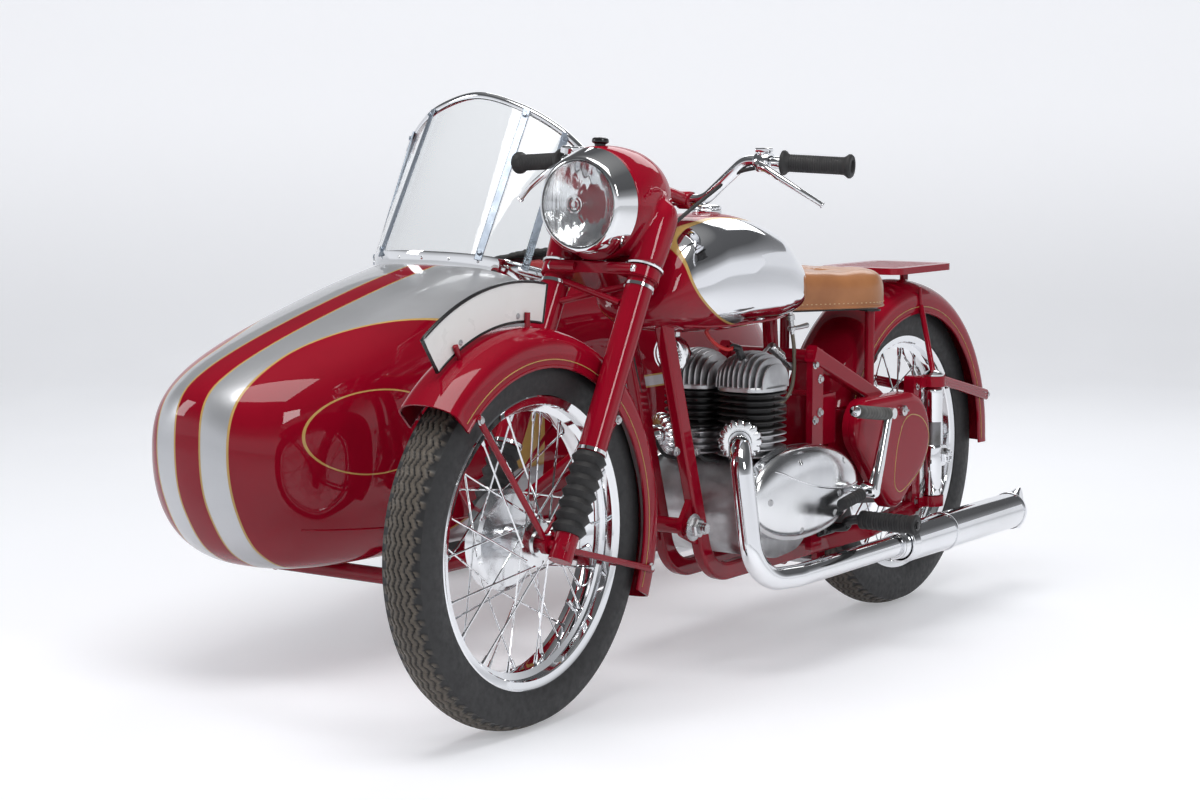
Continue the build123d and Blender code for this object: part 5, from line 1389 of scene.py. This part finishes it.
for side_name, hand in (("left", 1), ("right", -1)):
    build = Build()
    rows = [[at(hand * x, y, z) for y, z in blended_outline(box_circles, offset, 120)]
            for x, offset in ((112.3, -3), (113, 0), (127, 0.2), (127.6, -1.2), (128.6, -1.2), (129.2, 0.2), (138, 0))]
    for k in range(1, 11):
        turn = math.pi / 2 * k / 10
        rows.append([at(hand * (138 + 14 * math.sin(turn)), y, z)
                     for y, z in blended_outline(box_circles, -22 * (1 - math.cos(turn)), 120)])
    last = blended_outline(box_circles, -22, 120)
    for share in (0.7, 0.35, 0.05):
        rows.append([at(hand * 152, 440 + (y - 440) * share, 375 + (z - 375) * share) for y, z in last])
    build.grid(rows, close_columns=True, caps=True)
    build.piece("tool_box_" + side_name, paint, "chassis", "red_paint", ("tool_boxes",))
    trim = Build()
    drop = [(488, 438), (530, 430), (560, 408), (576, 374), (566, 338), (535, 316), (497, 300), (462, 286), (438, 284),
            (420, 304), (424, 353), (436, 391), (456, 425)]
    smooth_drop = []
    for k in range(len(drop)):
        p0, p1, p2, p3 = [Vector((*drop[(k + j) % len(drop)], 0)) for j in (-1, 0, 1, 2)]
        for j in range(8):
            t = j / 8
            p = 0.5 * ((2 * p1) + (p2 - p0) * t + (2 * p0 - 5 * p1 + 4 * p2 - p3) * t * t
                       + (3 * p1 - p0 - 3 * p2 + p3) * t ** 3)
            smooth_drop.append((hand * (box_x(p[0], p[1]) - 0.5), p[0], p[1]))
    loop(trim, smooth_drop, 1.3, 8)
    gold_look = worn(new_material("gold_line_" + side_name, GOLD, 0.0, 0.4), 60, 0.3, 0.5, 0, 0, 0, (0.45, 0.28, 0.09), 30)
    trim.piece("tool_box_line_" + side_name, gold_look, "chassis", "red_paint")
    trim = Build()
    trim.lathe([(0, 0.3), (0, 10), (3, 11), (9, 11), (11, 9), (12, 0.3)], (hand * 150.5, 447, 451), (hand, 0, 0), 28,
               closed=True)
    trim.box((hand * 163, 447, 451), (4, 18, 4), None, 1)
    trim.piece("tool_box_knob_" + side_name, zinc, "chassis", "chrome")

# Silencer bands and tail lamp
build = Build()
for hand in (-1, 1):
    for y, r in ((350, 25.5), (372, 34.5), (560, 39.3), (890, 39.3)):
        build.lathe([(-4, r - 1.5), (-4, r + 1.2), (-2.5, r + 2), (2.5, r + 2), (4, r + 1.2), (4, r - 1.5)],
                    (hand * 190, y, 187), (0, 1, 0), 48, closed=True)
    hex_bolt(build, (hand * 190, 350, 214), (0, 0, 1), 7, 5)
build.piece("silencer_bands", chrome, "chassis", "chrome")
lamp_glass = new_material("tail_lamp_glass", (0.6, 0.01, 0.01), 0.0, 0.12)
worn(lamp_glass, 60, 0.08, 0.2, 500, 0.2, 0.0003, (0.45, 0.006, 0.006), 30)
turn = math.radians(-55)
head = Vector((0, 667.5 - 406 * math.sin(turn), 332 + 406 * math.cos(turn)))
way = Vector((0, -math.sin(turn), math.cos(turn)))
build = Build()
build.lathe([(-31, 0.3), (-31, 23), (-8, 24), (-3, 24), (-1, 22.5), (-1, 0.3)], tuple(head), way, 48, closed=True)
build.piece("tail_lamp_shell", paint, "chassis", "red_paint", ("tail_lamp",))
build = Build()
build.lathe([(-2, 0.3), (-2, 21), (0, 21), (2.5, 18.5), (4, 12), (4.6, 0.3)], tuple(head), way, 48, closed=True)
build.piece("tail_lamp_lens", lamp_glass, "chassis", "red_paint")
build = Build()
build.lathe([(-3, 21.8), (-3, 24.6), (1, 24.6), (2, 23), (2, 21.4)], tuple(head), way, 48, closed=True)
build.piece("tail_lamp_rim", chrome, "chassis", "chrome")

# Windscreen frame: arch tube, four flat struts and the band on the body
strut_metal = worn(new_material("strut_metal", (0.34, 0.39, 0.45), 0.75, 0.3), 40, 0.22, 0.38, 600, 0.05, 0.0001,
                   (0.26, 0.30, 0.36), 20)
foot_line = [(-222, 0, 732), (-137, -96, 764), (0, -125, 772), (137, -96, 764), (222, 0, 732)]
arch_line = [(-230, 112, 978), (-183, 90, 1024), (-109, 66, 1067), (0, 58, 1093), (109, 66, 1067), (183, 90, 1024),
             (230, 112, 978)]


def measured(points, count=200):
    # points at even lengths along a smooth line
    path = smooth_path([Vector(p) for p in points], 24)
    runs = [(path[k + 1] - path[k]).length for k in range(len(path) - 1)]
    out = []
    for k in range(count + 1):
        goal, index = sum(runs) * k / count, 0
        while index < len(runs) - 1 and goal > runs[index]:
            goal -= runs[index]
            index += 1
        out.append(path[index].lerp(path[index + 1], min(1.0, goal / runs[index])))
    return out


foot_path, arch_path = measured(foot_line), measured(arch_line)
build = Build()
build.tube([(SIDECAR_X + p[0], p[1], p[2]) for p in arch_path[::4]], 8.5, 18, 2)
rows = []
for p in foot_path[::2]:
    out = Vector((p[0] * 0.012, -1.2 + abs(p[0]) * 0.004, 0)).normalized()
    rows.append([at(SIDECAR_X + p[0] + out[0] * o, p[1] + out[1] * o, p[2] + rise)
                 for o, rise in ((4.8, -32), (7.6, -32), (8.4, -30), (8.4, 5), (7.4, 8), (4.8, 8))])
build.grid(rows, close_columns=True, caps=True)
for index in range(6, 100, 11):
    p = foot_path[index * 2]
    out = Vector((p[0] * 0.012, -1.2 + abs(p[0]) * 0.004, 0)).normalized()
    centre = (SIDECAR_X + p[0] + out[0] * 8.2, p[1] + out[1] * 8.2, p[2] - 6)
    build.lathe([(-1, 0.2), (-1, 3.6), (0.6, 3.2), (1.6, 1.8), (1.9, 0.2)], centre, out, 16, closed=True)
build.piece("screen_arch", chrome, "chassis", "chrome", ("windscreen_frame",))
build = Build()
for share in (0.1, 0.27, 0.73, 0.9):
    k = round(200 * share)
    low, high = foot_path[k], arch_path[k]
    rise = (high - low).normalized()
    across = (foot_path[k + 1] - foot_path[k - 1]).normalized()
    out = across.cross(rise).normalized()
    out = out if out[1] < 0 else -out
    across = out.cross(rise)
    rows = []
    for point in (low - rise * 6, high):
        rows.append([at(*(point + Vector((SIDECAR_X, 0, 0)) + across * a + out * o))
                     for a, o in ((-7, 6), (-8, 6.8), (-8, 8.6), (-7, 9.4), (7, 9.4), (8, 8.6), (8, 6.8), (7, 6))])
    build.grid(rows, close_columns=True, caps=True)
    for point in (low + rise * 10, high - rise * 14):
        hex_bolt(build, tuple(point + Vector((SIDECAR_X, 0, 0)) + out * 9.2), out, 5, 3.5)
build.piece("screen_struts", strut_metal, "chassis", "chrome")

# Pinstripes along the fenders
gold_line = worn(new_material("fender_pinstripe", GOLD, 0.0, 0.4), 60, 0.3, 0.5, 0, 0, 0, (0.45, 0.28, 0.09), 30)
for name, place, outer_r, half, depth, front, rear, body in (
        ("front", FRONT, 368, 61, 62, 45, 114, "steering"), ("rear", REAR, 372, 75, 66, 100, 92, "chassis"),
        ("side", SIDE, 368, 75, 70, 80, 95, "chassis")):
    build = Build()
    for hand in (-1, 1):
        points = []
        for k in range(81):
            turn = math.radians(front - 1.6 - (front + rear - 3.2) * k / 80)
            r = outer_r - depth + 9
            points.append((place[0] + hand * (half + 0.25), place[1] - r * math.sin(turn), place[2] + r * math.cos(turn)))
        build.tube(points, 0.9, 6, 1)
    build.piece("fender_pinstripe_" + name, gold_line, body, "red_paint")

# Looks of the carried CAD nodes
looks = {
    "frame": paint, "fork_shrouds": paint, "fork_sliders": paint, "rack": paint, "battery_box": paint,
    "sidecar_frame": paint, "handlebar": chrome, "exhaust_pipes": chrome, "silencers": chrome,
    "crankcase": cast, "carburettor": cast, "front_hub": polished, "rear_hub": polished,
    "sidecar_hub": polished, "drive_chain": steel, "centre_stand": zinc, "gaiters": rubber, "windscreen": glass,
    "number_plate": plate_white}
for node, look in looks.items():
    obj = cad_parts[node]
    for slot in obj.material_slots:
        slot.material = look
    if not obj.material_slots:
        obj.data.materials.append(look)


# Floor and backdrop: white to the camera and in reflections, with the lit floor's shadow
def seen_rays(tree):
    # one for camera, glossy and transmission rays, else nought
    path = tree.nodes.new("ShaderNodeLightPath")
    seen = path.outputs["Is Camera Ray"]
    for name in ("Is Glossy Ray", "Is Transmission Ray"):
        join = tree.nodes.new("ShaderNodeMath")
        join.operation = "MAXIMUM"
        tree.links.new(seen, join.inputs[0])
        tree.links.new(path.outputs[name], join.inputs[1])
        seen = join.outputs[0]
    return seen


white = new_material("studio_floor", (0.72, 0.73, 0.76), 0.0, 0.6)
n = Nodes(white)
coords, px, py, pz = n.place()
n.to(n.mix(n.noise(coords, 0.7), (0.71, 0.72, 0.75), (0.74, 0.75, 0.78)), "Base Color")
n.to(n.spread(n.noise(coords, 3), 0.5, 0.65), "Roughness")
seen = seen_rays(white.node_tree)
wall = n.smooth(pz, -0.02, 1.2)
n.to(n.math("MULTIPLY", seen, n.math("ADD", 0.32, n.math("MULTIPLY", wall, 0.20))), "Emission Strength")
n.shader.inputs["Emission Color"].default_value = (0.96, 0.97, 1, 1)
floor_mesh = bpy.data.meshes.new("studio_floor")
profile = [(-9, 0), (4.5, 0)] + [(4.5 + 2 * math.sin(math.radians(a)), 2 - 2 * math.cos(math.radians(a)))
                                 for a in range(6, 91, 6)] + [(6.5, 3.2)]
verts, faces = [], []
for y, z in profile:
    verts += [(-16, y, z), (14, y, z)]
for k in range(len(profile) - 1):
    faces.append((2 * k, 2 * k + 1, 2 * k + 3, 2 * k + 2))
turned = Matrix.Rotation(math.radians(35), 3, "Z")
floor_mesh.from_pydata([tuple(turned @ Vector(v) - Vector((0, 0, 0.0006))) for v in verts], [], faces)
floor_mesh.polygons.foreach_set("use_smooth", [True] * len(floor_mesh.polygons))
floor_mesh.materials.append(white)
floor = bpy.data.objects.new("studio_floor", floor_mesh)
scene.collection.objects.link(floor)

# Camera, fitted to the photograph
camera_data = bpy.data.cameras.new("camera")
camera_data.sensor_width = 36
camera_data.lens = 70.95
camera_data.clip_end = 100
camera = bpy.data.objects.new("camera", camera_data)
scene.collection.objects.link(camera)
azimuth, elevation = math.radians(34.78), math.radians(6.58)
camera.location = at(2393.6, -3867.2, 1028.7)
camera.rotation_euler = (math.pi / 2 - elevation, 0, azimuth)
scene.camera = camera


# Lights
def area(name, place, target, size, power, color=(1, 1, 1), size_y=None):
    data = bpy.data.lights.new(name, "AREA")
    data.energy = power
    data.color = color
    data.shape = "RECTANGLE"
    data.size = size
    data.size_y = size_y or size
    light = bpy.data.objects.new(name, data)
    scene.collection.objects.link(light)
    light.location = place
    light.rotation_euler = (Vector(target) - Vector(place)).to_track_quat("-Z", "Y").to_euler()
    return light


area("key_top", (0.6, -1.2, 3.6), (0.1, -0.1, 0.4), 2.6, 70, (1, 0.99, 0.98), 1.6)
area("left_box", (3.4, -1.6, 2.4), (0.3, 0.0, 0.5), 0.7, 26, (1, 1, 1), 1.2)
area("right_box", (-3.2, -2.8, 2.0), (-0.3, -0.1, 0.5), 0.8, 26, (0.97, 0.98, 1), 1.6)
area("back_fill", (-1.0, 3.2, 3.0), (0.0, 0.5, 0.3), 3.0, 38, (0.98, 0.99, 1), 1.5)

world = bpy.data.worlds.new("studio")
scene.world = world
world.use_nodes = True
tree = world.node_tree
background = tree.nodes["Background"]
coords = tree.nodes.new("ShaderNodeTexCoord")
split = tree.nodes.new("ShaderNodeSeparateXYZ")
tree.links.new(coords.outputs["Generated"], split.inputs[0])
ramp = tree.nodes.new("ShaderNodeValToRGB")
tree.links.new(split.outputs[2], ramp.inputs[0])
stops = ((0.0, 0.93), (0.10, 0.90), (0.24, 0.30), (0.42, 0.10), (0.75, 0.12), (1.0, 0.35))
ramp.color_ramp.elements[0].position = stops[0][0]
ramp.color_ramp.elements[0].color = (stops[0][1] * 0.96, stops[0][1] * 0.975, stops[0][1] * 1.02, 1)
ramp.color_ramp.elements[1].position = stops[-1][0]
ramp.color_ramp.elements[1].color = (stops[-1][1],) * 3 + (1,)
for place, shade in stops[1:-1]:
    element = ramp.color_ramp.elements.new(place)
    element.color = (shade * 0.96, shade * 0.975, shade * 1.02, 1)
tree.links.new(ramp.outputs[0], background.inputs["Color"])
background.inputs["Strength"].default_value = 1.0
plain = tree.nodes.new("ShaderNodeBackground")
plain.inputs["Color"].default_value = (0.97, 0.98, 1, 1)
plain.inputs["Strength"].default_value = 0.45
seen = seen_rays(tree)
blend = tree.nodes.new("ShaderNodeMixShader")
tree.links.new(seen, blend.inputs[0])
tree.links.new(plain.outputs[0], blend.inputs[1])
tree.links.new(background.outputs[0], blend.inputs[2])
tree.links.new(blend.outputs[0], tree.nodes["World Output"].inputs["Surface"])

scene.view_settings.view_transform = "Standard"
scene.view_settings.look = "None"
